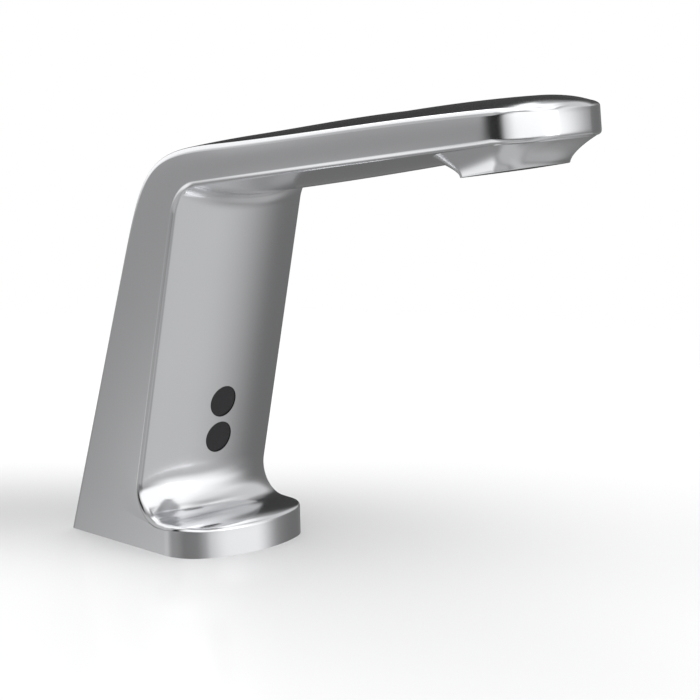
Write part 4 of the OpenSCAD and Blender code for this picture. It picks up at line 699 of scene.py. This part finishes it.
def rim_outline(w0, t0, r0, q0, w1, t1, r1, q1, width, n=14):
    """Outline round the outlet as x, t: half of it runs from the middle of the back edge round the
    back corner, along the side and round the front corner to the middle of the front, where each
    end is a section of a fillet and a bow; the other half is its mirror image."""
    one = lambda v: np.array([[v]])
    bx, bh = section(one(w0), one(r0), one(q0))
    fx, fh = section(one(w1), one(r1), one(q1))
    t = np.linspace(t0, t1, n + 1)[1:-1]
    half = np.concatenate([np.stack([bx[0, ::-1], t0 - bh[0, ::-1]], -1), np.stack([width(t), t], -1),
                           np.stack([fx[0], t1 + fh[0]], -1)])
    return np.concatenate([half[:-1] * [-1, 1], half[:0:-1]])


def under_z(k, x, t):
    """Height of the underside of the spout at x, t: its bow below the edge line, and beyond the
    nose corners the slope of the nose."""
    s = k.s
    held = np.minimum(t, s.nose_side_t)
    depth = k.bow_height(x, held, s.edge_r, k.under_bow(held))
    run = t - k.low_out[0] * depth
    beyond = np.maximum(0, run - k.nose_low[0])
    z = k.inner[1] + (run - beyond - k.inner[0]) * k.low_dir[1] / k.low_dir[0]
    return z + beyond * k.nose_out[1] / k.nose_out[0] + k.low_out[1] * depth


# Steps up the collar and round its eased rim, and the power of the height with which it flares.
COLLAR_N, EASE_N = 30, 5
FLARE_POWER = 1.5


def collar_loops(k, o):
    """Loops of the outlet collar, from its eased rim up to the underside of the spout. Each point
    moves from the outline of the rim to that of the flare by the power FLARE_POWER of its height."""
    s = k.s
    w = o.rim_w / 2

    def reach(r, q):
        """How far a section of a fillet r and a bow q over the half width of the rim stands out."""
        a = math.asin((w - r) / (q - r))
        return r * math.cos(a) - q * math.cos(a) + q

    def inset(t):
        """Half width of the flare at t."""
        return k.half_at(t) - o.flare_inset

    front = o.rim_front_t - reach(o.rim_front_r, o.rim_bow_r)
    back = o.rim_back_t + reach(o.rim_back_r, o.rim_back_bow_r)
    rim = rim_outline(w, back, o.rim_back_r, o.rim_back_bow_r, w, front, o.rim_front_r, o.rim_bow_r,
                      lambda t: w + 0 * t)
    top = rim_outline(inset(o.flare_t), o.flare_t, o.flare_back_r, o.flare_bow_r, inset(s.nose_side_t),
                      s.nose_side_t, s.nose_corner_r - o.flare_inset, s.nose_bow_r - o.flare_inset, inset)
    tilt = math.tan(o.outlet_tilt)
    low = np.concatenate([rim, o.outlet_z + (rim[:, 1:] - o.outlet_t) * tilt], -1)
    high = np.concatenate([top, under_z(k, top[:, :1], top[:, 1:]) + o.flare_sink], -1)
    u = np.linspace(0, 1, COLLAR_N + 1)[:, None, None]
    g = u ** FLARE_POWER
    wall = np.concatenate([low[:, :2] * (1 - g) + high[:, :2] * g,
                           low[:, 2:] * (1 - u) + high[:, 2:] * u], -1)
    b = np.linspace(0, np.pi / 2, EASE_N + 1)[:-1, None, None]
    middle = np.array([0, (o.rim_back_t + o.rim_front_t) / 2])
    inward = unit(middle - low[:, :2]) * o.rim_ease
    edge = np.concatenate([low[:, :2] + inward * (1 - np.sin(b)),
                           low[:, 2:] + o.rim_ease * (1 - np.cos(b))], -1)
    wall[..., 2] += o.rim_ease * (1 - u[..., 0])
    return to_xyz(np.concatenate([edge, wall, wall[-1:] + [0, 0, o.flare_into]]), s.axis_back)


# Heights in mm of the loops of the hollow up the column front and up the back face, how many of them
# are wide for the base plate, and the steps of the hollow round the inner corner and along the spout.
HOLLOW_FRONT, HOLLOW_BACK = (-4, 10, 13, 70), (-4, 10, 13.5)
HOLLOW_WIDE = 2
HOLLOW_TURN, HOLLOW_SPOUT = 8, 6


def hollow_loops(k, base, n=15):
    """Loops of the hollow: each is a line across under the front or the underside, then one back
    across under the back face or the top, both a wall inside the skin along its normal. Over the
    turn the loops end half a step before the shoulder."""
    s = k.s
    inner = corner_arc(k.inner, -k.col_dir, k.low_dir, s.inner_corner_r, HOLLOW_TURN)
    u = np.linspace(0, 1, HOLLOW_TURN + 1)
    start = k.inner + k.low_dir * (s.shoulder_t - k.inner[0]) / k.low_dir[0]
    low = line(inner[-1], start + (k.nose_low - start) * base.hollow_reach, HOLLOW_SPOUT)[1:]
    front = [(k.col_foot + k.col_dir * d * MM, k.col_out, s.front_bow_r) for d in HOLLOW_FRONT]
    front += [(p, unit(k.col_out * (1 - f) + k.low_out * f), s.front_bow_r * (1 - f) + s.under_bow_r * f)
              for p, f in zip(inner, u)]
    front += [(p, k.low_out, k.under_bow(p[0])) for p in low]
    back = [(k.back_dir * z * MM / k.back_dir[1], np.array([-1.0, 0]), s.back_bow_r) for z in HOLLOW_BACK]
    turn = np.concatenate([[0], (u * HOLLOW_TURN + 1) / (HOLLOW_TURN + 1.5)])
    over = base.hollow_top * np.arange(1, HOLLOW_SPOUT + 1) / HOLLOW_SPOUT
    for curve, steps in ((k.turn_curve, turn), (k.top_curve, over)):
        back += [(p, d, k.top_bow(p[0])) for p, d in zip(*curve(steps))]
    thin_from = len(front) - HOLLOW_SPOUT - 1
    loops = []
    for i, pair in enumerate(zip(front, back)):
        wall = s.wall - (base.spout_thin if i >= thin_from else 0)
        sides = []
        for (p, d, q), way in zip(pair, (1, -1)):
            half = base.hollow_half if i < HOLLOW_WIDE else k.half_at(p[0]) - s.wall
            x = way * half * np.linspace(-1, 1, n)
            h = k.bow_height(x, p[0], s.edge_r, q) - wall
            sides.append(np.stack([x, p[0] + d[0] * h, p[1] + d[1] * h], -1))
        loops.append(np.concatenate(sides))
    return to_xyz(np.array(loops), s.axis_back)


def drums(places, r, z0, z1, frame_matrix, inward=False):
    """Upright cylinders of one radius at the given places, in one frame."""
    sheets = Sheets()
    for x, y in places:
        sheets.take(solid_of_loops(raised(circle(r) + [x, y], [z0, z1]), frame_matrix, inward))
    return sheets


def ring_loops(inner, outer, z0, z1):
    """Loops round the section of a flat ring between two outlines of the same count of points."""
    flat = [(outer, z0), (outer, z1), (inner, z1), (inner, z0), (outer, z0)]
    return np.stack([np.concatenate([o, np.full((len(o), 1), z)], -1) for o, z in flat])


def linked(name, data):
    """Object of a mesh, a camera or a lamp, in the scene."""
    obj = bpy.data.objects.new(name, data)
    bpy.context.scene.collection.objects.link(obj)
    return obj


def combine(mesh, tool, how):
    """Mesh joined with or cut by the mesh of a tool, both closed."""
    objs = [linked(m.name, m) for m in (mesh, tool)]
    mod = objs[0].modifiers.new("cut", "BOOLEAN")
    mod.operation, mod.object, mod.solver = how, objs[1], "MANIFOLD"
    graph = bpy.context.evaluated_depsgraph_get()
    out = bpy.data.meshes.new_from_object(objs[0].evaluated_get(graph))
    if len(out.polygons) < 0.5 * len(mesh.polygons):
        raise RuntimeError("the cut of " + mesh.name + " by " + tool.name + " failed")
    for o in objs:
        m = o.data
        bpy.data.objects.remove(o)
        bpy.data.meshes.remove(m)
    return out


def cut(mesh, name, sheets):
    """Mesh less a tool, whose walls are marked for the painted shade of the inner faces."""
    return combine(mesh, sheets.mesh(name, 1.0), "DIFFERENCE")


def grow(mesh, name, sheets, inner=1.0):
    """Mesh with a solid added, which gets the painted shade of the inner faces or stays plated."""
    return combine(mesh, sheets.mesh(name, inner), "UNION")


def keep_normals(mesh):
    """Corner normals from the kept attribute, or from the face where a corner has none or one that
    a blend of two surfaces has turned away from its face."""
    n = len(mesh.loops)
    way = np.zeros(3 * n, np.float32)
    mesh.attributes["way"].data.foreach_get("vector", way)
    way = way.reshape(-1, 3).astype(float)
    face = np.empty(3 * len(mesh.polygons))
    mesh.polygons.foreach_get("normal", face)
    sizes = np.empty(len(mesh.polygons), int)
    mesh.polygons.foreach_get("loop_total", sizes)
    face = np.repeat(face.reshape(-1, 3), sizes, 0)
    size = np.linalg.norm(way, axis=1, keepdims=True)
    fits = (size > 0.5) & ((way * face).sum(1, keepdims=True) > 0.2)
    way = np.where(fits, way / np.maximum(size, 1e-9), face)
    mesh.polygons.foreach_set("use_smooth", np.ones(len(mesh.polygons), bool))
    mesh.normals_split_custom_set(way.tolist())
    mesh.attributes.remove(mesh.attributes["way"])


def piece(name, mesh, body, material, replaces):
    """Object of a finished mesh, riding on a body, with its finish and the nodes it stands for."""
    obj = linked(name, mesh)
    mesh.materials.clear()
    mesh.materials.append(material)
    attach(obj, body)
    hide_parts(*replaces)
    return obj


# Finishes

def group(name, inputs, outputs):
    """Empty shader node group with the given sockets, as (name, type, default) rows."""
    g = bpy.data.node_groups.new(name, "ShaderNodeTree")
    for n, kind, value in inputs:
        g.interface.new_socket(name=n, in_out="INPUT", socket_type=kind).default_value = value
    for n, kind in outputs:
        g.interface.new_socket(name=n, in_out="OUTPUT", socket_type=kind)
    return g, g.nodes.new("NodeGroupInput"), g.nodes.new("NodeGroupOutput")


def node(tree, kind, inputs=None, **settings):
    """Node with its settings and inputs; an input is a plain value or another node's socket."""
    n = tree.nodes.new(kind)
    for key, value in settings.items():
        setattr(n, key, value)
    for key, value in (inputs or {}).items():
        if isinstance(value, bpy.types.NodeSocket):
            tree.links.new(value, n.inputs[key])
        else:
            n.inputs[key].default_value = value
    return n


def maths(tree, operation, *values):
    """Output of a math node on plain values or sockets."""
    return node(tree, "ShaderNodeMath", dict(enumerate(values)), operation=operation).outputs[0]


def blend(tree, share, a, b):
    """Value that goes from a to b with the share."""
    return node(tree, "ShaderNodeMix", {0: share, 2: a, 3: b}, data_type="FLOAT").outputs[0]


def blend_colour(tree, share, a, b):
    """Colour that goes from a to b with the share."""
    return node(tree, "ShaderNodeMix", {0: share, 6: a, 7: b}, data_type="RGBA").outputs[2]


def soft_step(tree, value, a, b, x=0.0, y=1.0):
    """Value that goes smoothly from x to y while another goes from a to b."""
    ends = {"Value": value, "From Min": a, "From Max": b, "To Min": x, "To Max": y}
    return node(tree, "ShaderNodeMapRange", ends, interpolation_type="SMOOTHSTEP").outputs[0]


def new_material(name):
    """New material with its node tree."""
    mat = bpy.data.materials.new(name)
    mat.use_nodes = True
    return mat, mat.node_tree


def grain_group():
    """Fine grain: a roughness that wanders slowly and in fine streaks, and a normal that ripples.
    The roughness is multiplied by 1 + wander * (slow noise + fine noise - 1)."""
    g, i, o = group("Fine grain", [("Roughness", "NodeSocketFloat", 0.2), ("Wander", "NodeSocketFloat", 0.1),
                                   ("Scale", "NodeSocketFloat", 400.0), ("Ripple", "NodeSocketFloat", 0.02)],
                    [("Roughness", "NodeSocketFloat"), ("Normal", "NodeSocketVector")])
    place = node(g, "ShaderNodeTexCoord").outputs["Object"]
    slow = node(g, "ShaderNodeTexNoise", {"Vector": place, "Scale": 45.0, "Detail": 3.0}).outputs["Fac"]
    fine = node(g, "ShaderNodeTexNoise", {"Vector": place, "Scale": i.outputs["Scale"], "Detail": 4.0})
    fine = fine.outputs["Fac"]
    swing = maths(g, "MULTIPLY", maths(g, "SUBTRACT", maths(g, "ADD", slow, fine), 1.0), i.outputs["Wander"])
    rough = maths(g, "MULTIPLY", maths(g, "ADD", swing, 1.0), i.outputs["Roughness"])
    bump = node(g, "ShaderNodeBump", {"Height": fine, "Strength": i.outputs["Ripple"], "Distance": 0.0002})
    g.links.new(rough, o.inputs["Roughness"])
    g.links.new(bump.outputs["Normal"], o.inputs["Normal"])
    return g


def finish(name, base, metallic, rough, wander=0.15, scale=400.0, ripple=0.02, vary=0.04, **sockets):
    """Material with the fine grain on its roughness and normal, and a colour that varies a little."""
    mat, tree = new_material(name)
    shader = tree.nodes["Principled BSDF"]
    grain = node(tree, "ShaderNodeGroup", node_tree=bpy.data.node_groups["Fine grain"])
    for key, value in (("Roughness", rough), ("Wander", wander), ("Scale", scale), ("Ripple", ripple)):
        grain.inputs[key].default_value = value
    tree.links.new(grain.outputs["Roughness"], shader.inputs["Roughness"])
    tree.links.new(grain.outputs["Normal"], shader.inputs["Normal"])
    place = node(tree, "ShaderNodeTexCoord").outputs["Object"]
    cloud = node(tree, "ShaderNodeTexNoise", {"Vector": place, "Scale": 30.0, "Detail": 2.0})
    ramp = node(tree, "ShaderNodeValToRGB", {"Fac": cloud.outputs["Fac"]})
    for spot, gain in ((0, 1 - vary), (1, 1 + vary)):
        ramp.color_ramp.elements[spot].position = 0.3 + 0.4 * spot
        ramp.color_ramp.elements[spot].color = tuple(min(1.0, c * gain) for c in base) + (1.0,)
    tree.links.new(ramp.outputs["Color"], shader.inputs["Base Color"])
    shader.inputs["Metallic"].default_value = metallic
    for key, value in sockets.items():
        shader.inputs[key.replace("_", " ")].default_value = value
    return mat


def shaded(mat, inner_shade, rough):
    """Lay the painted shade, a dark dull colour and roughness, over the faces that are marked as inner,
    where it stands in for the shade in the recesses, bores and hollow.
    """
    tree = mat.node_tree
    shader = tree.nodes["Principled BSDF"]
    mark = node(tree, "ShaderNodeAttribute", attribute_name="inner").outputs["Fac"]
    colour_in = shader.inputs["Base Color"].links[0].from_socket
    rough_in = shader.inputs["Roughness"].links[0].from_socket
    tree.links.new(blend_colour(tree, mark, colour_in, inner_shade + (1.0,)), shader.inputs["Base Color"])
    tree.links.new(blend(tree, mark, rough_in, rough), shader.inputs["Roughness"])


# Finishes of the inner pieces, by the name of their slot: colour, metallic and roughness.
PLAIN = {
    "brass": ((0.62, 0.44, 0.20), 1.0, 0.30), "steel": ((0.55, 0.55, 0.56), 1.0, 0.25),
    "zinc_steel": ((0.50, 0.50, 0.50), 1.0, 0.38), "rubber": ((0.022, 0.022, 0.023), 0.0, 0.62),
    "pale_plastic": ((0.72, 0.71, 0.66), 0.0, 0.42), "dark_plastic": ((0.03, 0.03, 0.033), 0.0, 0.45),
    "red_plastic": ((0.50, 0.05, 0.035), 0.0, 0.40), "jet_black": ((0.018, 0.018, 0.019), 0.0, 0.42),
    "magnet": ((0.30, 0.30, 0.31), 1.0, 0.45), "copper": ((0.60, 0.26, 0.12), 1.0, 0.35),
    "board_green": ((0.02, 0.13, 0.05), 0.0, 0.35),
}


def scene_settings(kind):
    """The sizes or colours of one kind that the scene holds."""
    return getattr(bpy.context.scene, "tap_" + kind)


class TAP_OT_finishes(bpy.types.Operator):
    """Make the shared grain and a material for each finish"""

    bl_idname = "tap.finishes"
    bl_label = "Finishes"

    def execute(self, context):
        f = scene_settings("finishes")
        grain_group()
        chrome = finish("Plated chrome", tuple(f.chrome), 1.0, f.chrome_rough, wander=0.12, ripple=0.01,
                        vary=0.01)
        # Painted shade on the faces of the casting that are marked as inner.
        shaded(chrome, tuple(f.inner_shade), f.inner_shade_rough)
        finish("Sensor lens", tuple(f.lens), 0.0, f.lens_rough, wander=0.1, ripple=0.01)
        for name, (base, metallic, rough) in PLAIN.items():
            finish(name.replace("_", " ").capitalize(), base, metallic, rough)
        slots = {"chrome": "Plated chrome", "lens_black": "Sensor lens"}
        for part in frame["record"]["subparts"]:
            slot = part["material_slot"]
            name = slots.get(slot, slot.replace("_", " ").capitalize())
            for place in frame["nodes"][part["node"]].material_slots:
                place.material = bpy.data.materials[name]
        return {"FINISHED"}


# The frame of the part itself, for shapes that are worked out in place.
HOME = np.eye(3), np.zeros(3)


def cut_outlet(mesh, k, o):
    """Recess, jet bore, bush bore and tube bore of the outlet."""
    place = outlet_frame(k, o)
    turn, origin = place
    ends = [(o.outlet_t - t) / math.cos(o.outlet_tilt)
            for t in (o.rim_front_t - o.rim_wall, o.rim_back_t + o.rim_wall)]
    side = o.rim_w / 2 - o.rim_wall
    recess = round_box(-side, side, *ends, [o.recess_back_r] * 2 + [o.rim_front_r - o.rim_wall] * 2)
    along = np.stack([turn[:, 2], turn[:, 0], turn[:, 1]], -1), origin + turn[:, 2] * o.tube_rise
    for name, outline, z0, z1, where in (
            ("recess", recess, -CLEAR, o.recess_h, place),
            ("jet bore", circle(o.jet_bore_d / 2), -1.1 * CLEAR, o.jet_top, place),
            ("bush bore", circle(o.bush_bore_d / 2), -1.2 * CLEAR, o.bush_top, place),
            ("tube bore", circle(o.tube_bore_d / 2), 0.0, o.tube_bore_l, along)):
        mesh = cut(mesh, name, solid_of_loops(raised(outline, [z0, z1]), where, True))
    return mesh


def cut_sensor(mesh, k, w):
    """Lens holes, the seat of the sensor housing and its screw lugs."""
    place = sensor_frame(k, w)
    lugs = [(-w.lug_x, 0), (w.lug_x, 0)]
    mesh = grow(mesh, "lugs", drums(lugs, w.lug_d / 2, -w.lug_low, -w.lug_top, place))
    holes = [(0, -w.lens_pitch / 2), (0, w.lens_pitch / 2)]
    r = w.lens_d / 2 + w.lens_gap
    mesh = cut(mesh, "lens holes", drums(holes, r, -w.hole_low, 3 * CLEAR, place, True))
    seat = round_box(-w.seat_w / 2, w.seat_w / 2, -w.seat_l / 2, w.seat_l / 2, [w.seat_r] * 4, 3)
    mesh = cut(mesh, "seat", solid_of_loops(raised(seat, [-w.seat_low, -w.seat_d]), place, True))
    low = -w.lug_low - 0.1 * CLEAR
    return cut(mesh, "lug bores", drums(lugs, w.lug_bore_d / 2, low, -w.lug_bore_end, place, True))


def cut_base(mesh, k, g):
    """Hollow, screw bosses, pocket of the base plate, gasket groove and screw bores."""
    back = k.s.axis_back
    mesh = cut(mesh, "hollow", solid_of_loops(hollow_loops(k, g), HOME, True))
    spots = [(x, back - t) for x in (-g.screw_x, g.screw_x) for t in (g.screw_t0, g.screw_t1)]
    mesh = grow(mesh, "bosses", drums(spots, g.boss_d / 2, g.boss_low, g.boss_top, HOME))

    def plan(more):
        """Outline of the base plate, larger all round."""
        x = g.plate_w / 2 + more
        return round_box(-x, x, back - g.plate_back - g.plate_depth - more, back - g.plate_back + more,
                         [g.plate_back_r + max(0, more - g.plate_gap)] * 2 + [g.plate_front_r + more] * 2)

    pocket = raised(plan(g.plate_gap), [-CLEAR, g.plate_h])
    mesh = cut(mesh, "pocket", solid_of_loops(pocket, HOME, True))
    groove = Sheets()
    loops = ring_loops(plan(g.groove_in), plan(g.groove_in + g.groove_w), -CLEAR, g.groove_h)
    for a, b in zip(loops[:-1], loops[1:]):
        pair = np.stack([a, b])
        groove.add(pair, -loop_normals(pair), loop=True)
    mesh = cut(mesh, "groove", groove)
    bores = drums(spots, g.screw_bore_d / 2, -CLEAR, g.boss_top - g.boss_end, HOME, True)
    return cut(mesh, "screw bores", bores)


class TAP_OT_casting(bpy.types.Operator):
    """Build the casting: foot, column, spout, the collar of the outlet and what is cut into them"""

    bl_idname = "tap.casting"
    bl_label = "Casting"

    def execute(self, context):
        k = Casting(scene_settings("casting"))
        o, w, g = (scene_settings(kind) for kind in ("outlet", "sensor", "base"))
        mesh = skin_sheets(k).mesh("casting")
        mesh = grow(mesh, "collar", solid_of_loops(collar_loops(k, o), HOME), 0.0)
        mesh = cut_base(mesh, k, g)
        mesh = cut_outlet(mesh, k, o)
        mesh = cut_sensor(mesh, k, w)
        keep_normals(mesh)
        piece("casting", mesh, "tap", bpy.data.materials["Plated chrome"], ["body"])
        return {"FINISHED"}


# Turns that lie closed at each end of a spring.
CLOSED = 0.9


def coil(low, high, axis, wire, turns, sides=10, steps=40):
    """Round wire swept along a helix that fills the box from low to high along one axis. Its height
    rises by one wire in the first and in the last turn, and evenly between them."""
    low, high = np.array(low), np.array(high)
    long = high[axis] - low[axis]
    others = [i for i in range(3) if i != axis]
    r = (high[others[0]] - low[others[0]] - wire) / 2
    u = np.linspace(0, turns, int(turns * steps) + 1)
    rise = wire / 2 + np.interp(u, [0, CLOSED, turns - CLOSED, turns],
                                [0, wire, long - 2 * wire, long - wire])
    a = 2 * np.pi * u[:, None]
    b = 2 * np.pi * np.arange(sides)[None] / sides
    reach = r + wire / 2 * np.cos(b)
    p = np.empty((len(u), sides, 3))
    p[..., others[0]] = (low + high)[others[0]] / 2 + reach * np.cos(a)
    p[..., others[1]] = (low + high)[others[1]] / 2 + reach * np.sin(a)
    p[..., axis] = low[axis] + rise[:, None] + wire / 2 * np.sin(b)
    faces = grid_faces(len(u), sides, 0, True).tolist()
    last = (len(u) - 1) * sides
    faces += [list(range(sides))[::-1], list(range(last, last + sides))]
    mesh = bpy.data.meshes.new("coil")
    mesh.from_pydata(p.reshape(-1, 3).tolist(), [], faces)
    bm = bmesh.new()
    bm.from_mesh(mesh)
    bmesh.ops.recalc_face_normals(bm, faces=bm.faces)
    for face in bm.faces:
        face.smooth = len(face.verts) == 4
    bm.to_mesh(mesh)
    bm.free()
    return mesh


class TAP_OT_springs(bpy.types.Operator):
    """Wind the springs of the plunger and the check valve"""

    bl_idname = "tap.springs"
    bl_label = "Springs"

    def execute(self, context):
        s = scene_settings("springs")
        steel = bpy.data.materials["Steel"]
        for name, axis, wire, turns, joint in (
                ("plunger_spring", 0, s.plunger_wire, s.plunger_turns, "plunger_slide"),
                ("check_valve_spring", 2, s.check_wire, s.check_turns, "check_valve_lift")):
            low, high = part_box(name)
            obj = piece(name + "_coil", coil(low, high, axis, wire, turns), "tap", steel, [name])
            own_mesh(obj)
        return {"FINISHED"}


# What polished metal sees of the studio. Each row is a soft-edged zone: azimuth of its middle from
# +y towards +x, half width, height of its middle, half height, softness of its side edges and of its
# upper and lower edge, all in degrees, and its brightness. Rows lie over the rows before them.
ROOM = (
    ("nadir", 0, 180, -90, 26, 1, 12, 0.56),
    ("under shade", -8, 24, -60, 8, 8, 5, 0.30),
    ("low left", -98, 40, -40, 20, 14, 8, 0.50),
    ("overhead", 10, 84, 90, 47, 8, 6, 1.4),
    ("overhead front", 128, 66, 90, 32, 14, 8, 1.4),
    ("overhead right", 100, 32, 37, 14, 6, 6, 0.7),
    ("left panel", -9, 38, 30, 31, 5, 5, 1.2),
    ("side glow", -54, 20, 15, 16, 8, 5, 0.55),
    ("left strip", -50, 13, -35, 18, 10, 9, 1.1),
    ("front corner", 157, 26, -5, 12, 14, 6, 1.2),
    ("front", -166, 64, 27, 31, 22, 6, 1.3),
    ("front shade", -128, 30, -16, 7, 14, 4, 0.19),
    ("left gap", -85, 11, 3, 14, 6, 4, 0.01),
    ("far gap", 44, 18, 8, 23, 5, 6, 0.035),
    ("right gap", 92, 30, -8, 26, 24, 10, 0.18),
    ("low far", 43, 17, -40, 26, 6, 8, 0.17),
    ("low right", 90, 20, -48, 12, 10, 6, 0.46),
    ("low front", 165, 34, -50, 36, 26, 12, 0.62),
)
ROOM_GREY = 0.33


def zone_mask(tree, turn, height, row):
    """One inside the zone and zero outside, with smooth edges."""
    _, az, wide, el, tall, soft_az, soft_el, _ = row
    off = maths(tree, "WRAP", maths(tree, "SUBTRACT", turn, math.radians(az)), math.pi, -math.pi)
    rise = maths(tree, "SUBTRACT", height, math.radians(el))
    masks = [soft_step(tree, maths(tree, "ABSOLUTE", value), math.radians(half - soft),
                       math.radians(half + soft), 1.0, 0.0)
             for value, half, soft in ((off, wide, soft_az), (rise, tall, soft_el))]
    return maths(tree, "MULTIPLY", *masks)


def room_tone(tree, direction):
    """Brightness of the studio in a direction: its grey, with the zones of ROOM laid over it in turn."""
    parts = node(tree, "ShaderNodeSeparateXYZ", {"Vector": direction}).outputs
    turn = maths(tree, "ARCTAN2", parts["X"], parts["Y"])
    height = maths(tree, "ARCSINE", parts["Z"])
    tone = ROOM_GREY
    for row in ROOM:
        tone = blend(tree, zone_mask(tree, turn, height, row), tone, row[-1])
    return tone


def studio_world(plain):
    """White to the camera, the zones of the room to metal and glass, and one plain level for the rest."""
    world = bpy.data.worlds.new("studio")
    world.use_nodes = True
    tree = world.node_tree
    tone = room_tone(tree, node(tree, "ShaderNodeTexCoord").outputs["Generated"])
    path = node(tree, "ShaderNodeLightPath").outputs
    mirror = maths(tree, "MAXIMUM", path["Is Glossy Ray"], path["Is Transmission Ray"])
    seen = blend(tree, path["Is Camera Ray"], blend(tree, mirror, plain, tone), 1.0)
    tree.links.new(seen, tree.nodes["Background"].inputs["Strength"])
    tree.nodes["Background"].inputs["Color"].default_value = (1, 1, 1, 1)
    return world


# Painted shadow on the floor: a grey band, as seen from the camera, that stands in for the soft shadows of
# the tap. Its rows are its middle, width and depth. Each goes, between two places across the view, from one
# value to another. All are in metres but the depth, a share.
PAINTED_SHADOW_BAND = ((-0.05, 0.17, 0.019, -0.012), (0.0, 0.17, 0.05, 0.09), (0.0, 0.17, 0.33, 0.07))
# Share and roughness of the gloss of the floor.
FLOOR_GLOSS = (0.05, 0.12)
# Name, place, size and brightness of each lamp, and what they all look at.
LAMPS = (("key", (0.375, 0.65, 1.3), 1.0, 1.1), ("side", (0.3, -1.16, 0.25), 0.5, 1.4))
LAMP_TARGET = (0, -0.05, 0.08)


def floor_material(base, st):
    """Pale floor with a faint gloss. A painted shadow lies across it at the tap: a soft grey band, wide and
    weak to the right, that stands in for the soft shadows of the tap. It is a bell curve exp(-(way off its
    middle / width) ** 2) times its depth. The floor fades into the white background towards its rim. Metal
    sees the room, not the floor."""
    mat, tree = new_material("Studio floor")
    tree.nodes.remove(tree.nodes["Principled BSDF"])
    place = node(tree, "ShaderNodeTexCoord").outputs["Object"]
    turned = node(tree, "ShaderNodeVectorRotate", {"Vector": place, "Angle": st.camera_yaw},
                  rotation_type="Z_AXIS").outputs[0]
    parts = node(tree, "ShaderNodeSeparateXYZ", {"Vector": turned}).outputs
    # Painted shadow: a bell across the floor that darkens its colour at the tap.
    middle, width, depth = (soft_step(tree, parts["X"], *row) for row in PAINTED_SHADOW_BAND)
    off = maths(tree, "DIVIDE", maths(tree, "SUBTRACT", parts["Y"], middle), width)
    bell = maths(tree, "POWER", math.exp(-1), maths(tree, "MULTIPLY", off, off))
    tone = blend_colour(tree, maths(tree, "MULTIPLY", bell, depth), base + (1.0,), (0, 0, 0, 1))
    matt = node(tree, "ShaderNodeBsdfDiffuse", {"Color": tone})
    gloss = node(tree, "ShaderNodeBsdfAnisotropic", {"Roughness": FLOOR_GLOSS[1], "Color": (1, 1, 1, 1)})
    body = node(tree, "ShaderNodeMixShader", {0: FLOOR_GLOSS[0], 1: matt.outputs[0], 2: gloss.outputs[0]})
    far = node(tree, "ShaderNodeVectorMath", {0: place}, operation="LENGTH").outputs["Value"]
    fade = soft_step(tree, far, st.fade_from, st.fade_to)
    path = node(tree, "ShaderNodeLightPath").outputs
    away = maths(tree, "MAXIMUM", fade, path["Is Glossy Ray"])
    clear = node(tree, "ShaderNodeBsdfTransparent")
    both = node(tree, "ShaderNodeMixShader", {0: away, 1: body.outputs[0], 2: clear.outputs[0]})
    tree.links.new(both.outputs[0], tree.nodes["Material Output"].inputs["Surface"])
    return mat


class TAP_OT_studio(bpy.types.Operator):
    """Set the camera, the floor and the soft light"""

    bl_idname = "tap.studio"
    bl_label = "Studio"

    def execute(self, context):
        st = scene_settings("studio")
        scene = context.scene
        cam = bpy.data.cameras.new("camera")
        cam.lens, cam.sensor_width, cam.sensor_fit = st.lens_mm, 36.0, "HORIZONTAL"
        cam.clip_start, cam.clip_end = 0.05, 50.0
        eye = linked("camera", cam)
        eye.location = (st.camera_x, st.camera_y, st.camera_z)
        eye.rotation_euler = (math.pi / 2 - st.camera_pitch, 0, -st.camera_yaw)
        scene.camera = eye
        mesh = bpy.data.meshes.new("floor")
        ring = raised(circle(st.floor_r, 64), [0])[0]
        mesh.from_pydata(ring.tolist(), [], [list(range(len(ring)))])
        floor = linked("floor", mesh)
        mesh.materials.append(floor_material(tuple(scene_settings("finishes").floor), st))
        scene.world = studio_world(st.plain)
        for name, place, size, bright in LAMPS:
            data = bpy.data.lights.new(name, "AREA")
            data.shape, data.size, data.energy = "SQUARE", size, bright * math.pi * size * size
            linked(name, data).matrix_world = aim(place, LAMP_TARGET)
        scene.view_settings.view_transform = "Standard"
        return {"FINISHED"}


def aim(place, target):
    """Frame at a place whose -z looks at a target."""
    z = unit(np.array(place, float) - np.array(target, float))
    x = unit(np.cross([0, 0, 1.0], z))
    y = np.cross(z, x)
    m = np.eye(4)
    m[:3, 0], m[:3, 1], m[:3, 2], m[:3, 3] = x, y, z, place
    return Matrix(m.tolist())


class TAP_PT_panel(bpy.types.Panel):
    """Lists the steps of the model"""

    bl_idname = "TAP_PT_panel"
    bl_label = "Sensor Tap"
    bl_space_type = "VIEW_3D"
    bl_region_type = "UI"
    bl_category = "Sensor Tap"

    def draw(self, context):
        for op in STEPS:
            self.layout.operator(op.bl_idname)


# The steps in their order, and what the scene holds for them.
STEPS = (TAP_OT_finishes, TAP_OT_casting, TAP_OT_springs, TAP_OT_studio)
GROUPS = {"casting": CastingSizes, "outlet": OutletSizes, "sensor": SensorSizes, "base": BaseSizes,
          "springs": SpringSizes, "finishes": Finishes, "studio": Studio}


def register():
    """Make the sizes, the steps and the panel known to Blender."""
    for cls in tuple(GROUPS.values()) + STEPS + (TAP_PT_panel,):
        bpy.utils.register_class(cls)
    for name, cls in GROUPS.items():
        setattr(bpy.types.Scene, "tap_" + name, PointerProperty(type=cls))


def unregister():
    """Take the panel, the steps and the sizes away again."""
    for name in GROUPS:
        delattr(bpy.types.Scene, "tap_" + name)
    for cls in (TAP_PT_panel,) + STEPS[::-1] + tuple(GROUPS.values())[::-1]:
        bpy.utils.unregister_class(cls)


def main():
    """Build the tap and the studio."""
    register()
    for step in STEPS:
        area, name = step.bl_idname.split(".")
        getattr(getattr(bpy.ops, area), name)()


if __name__ == "__main__":
    main()
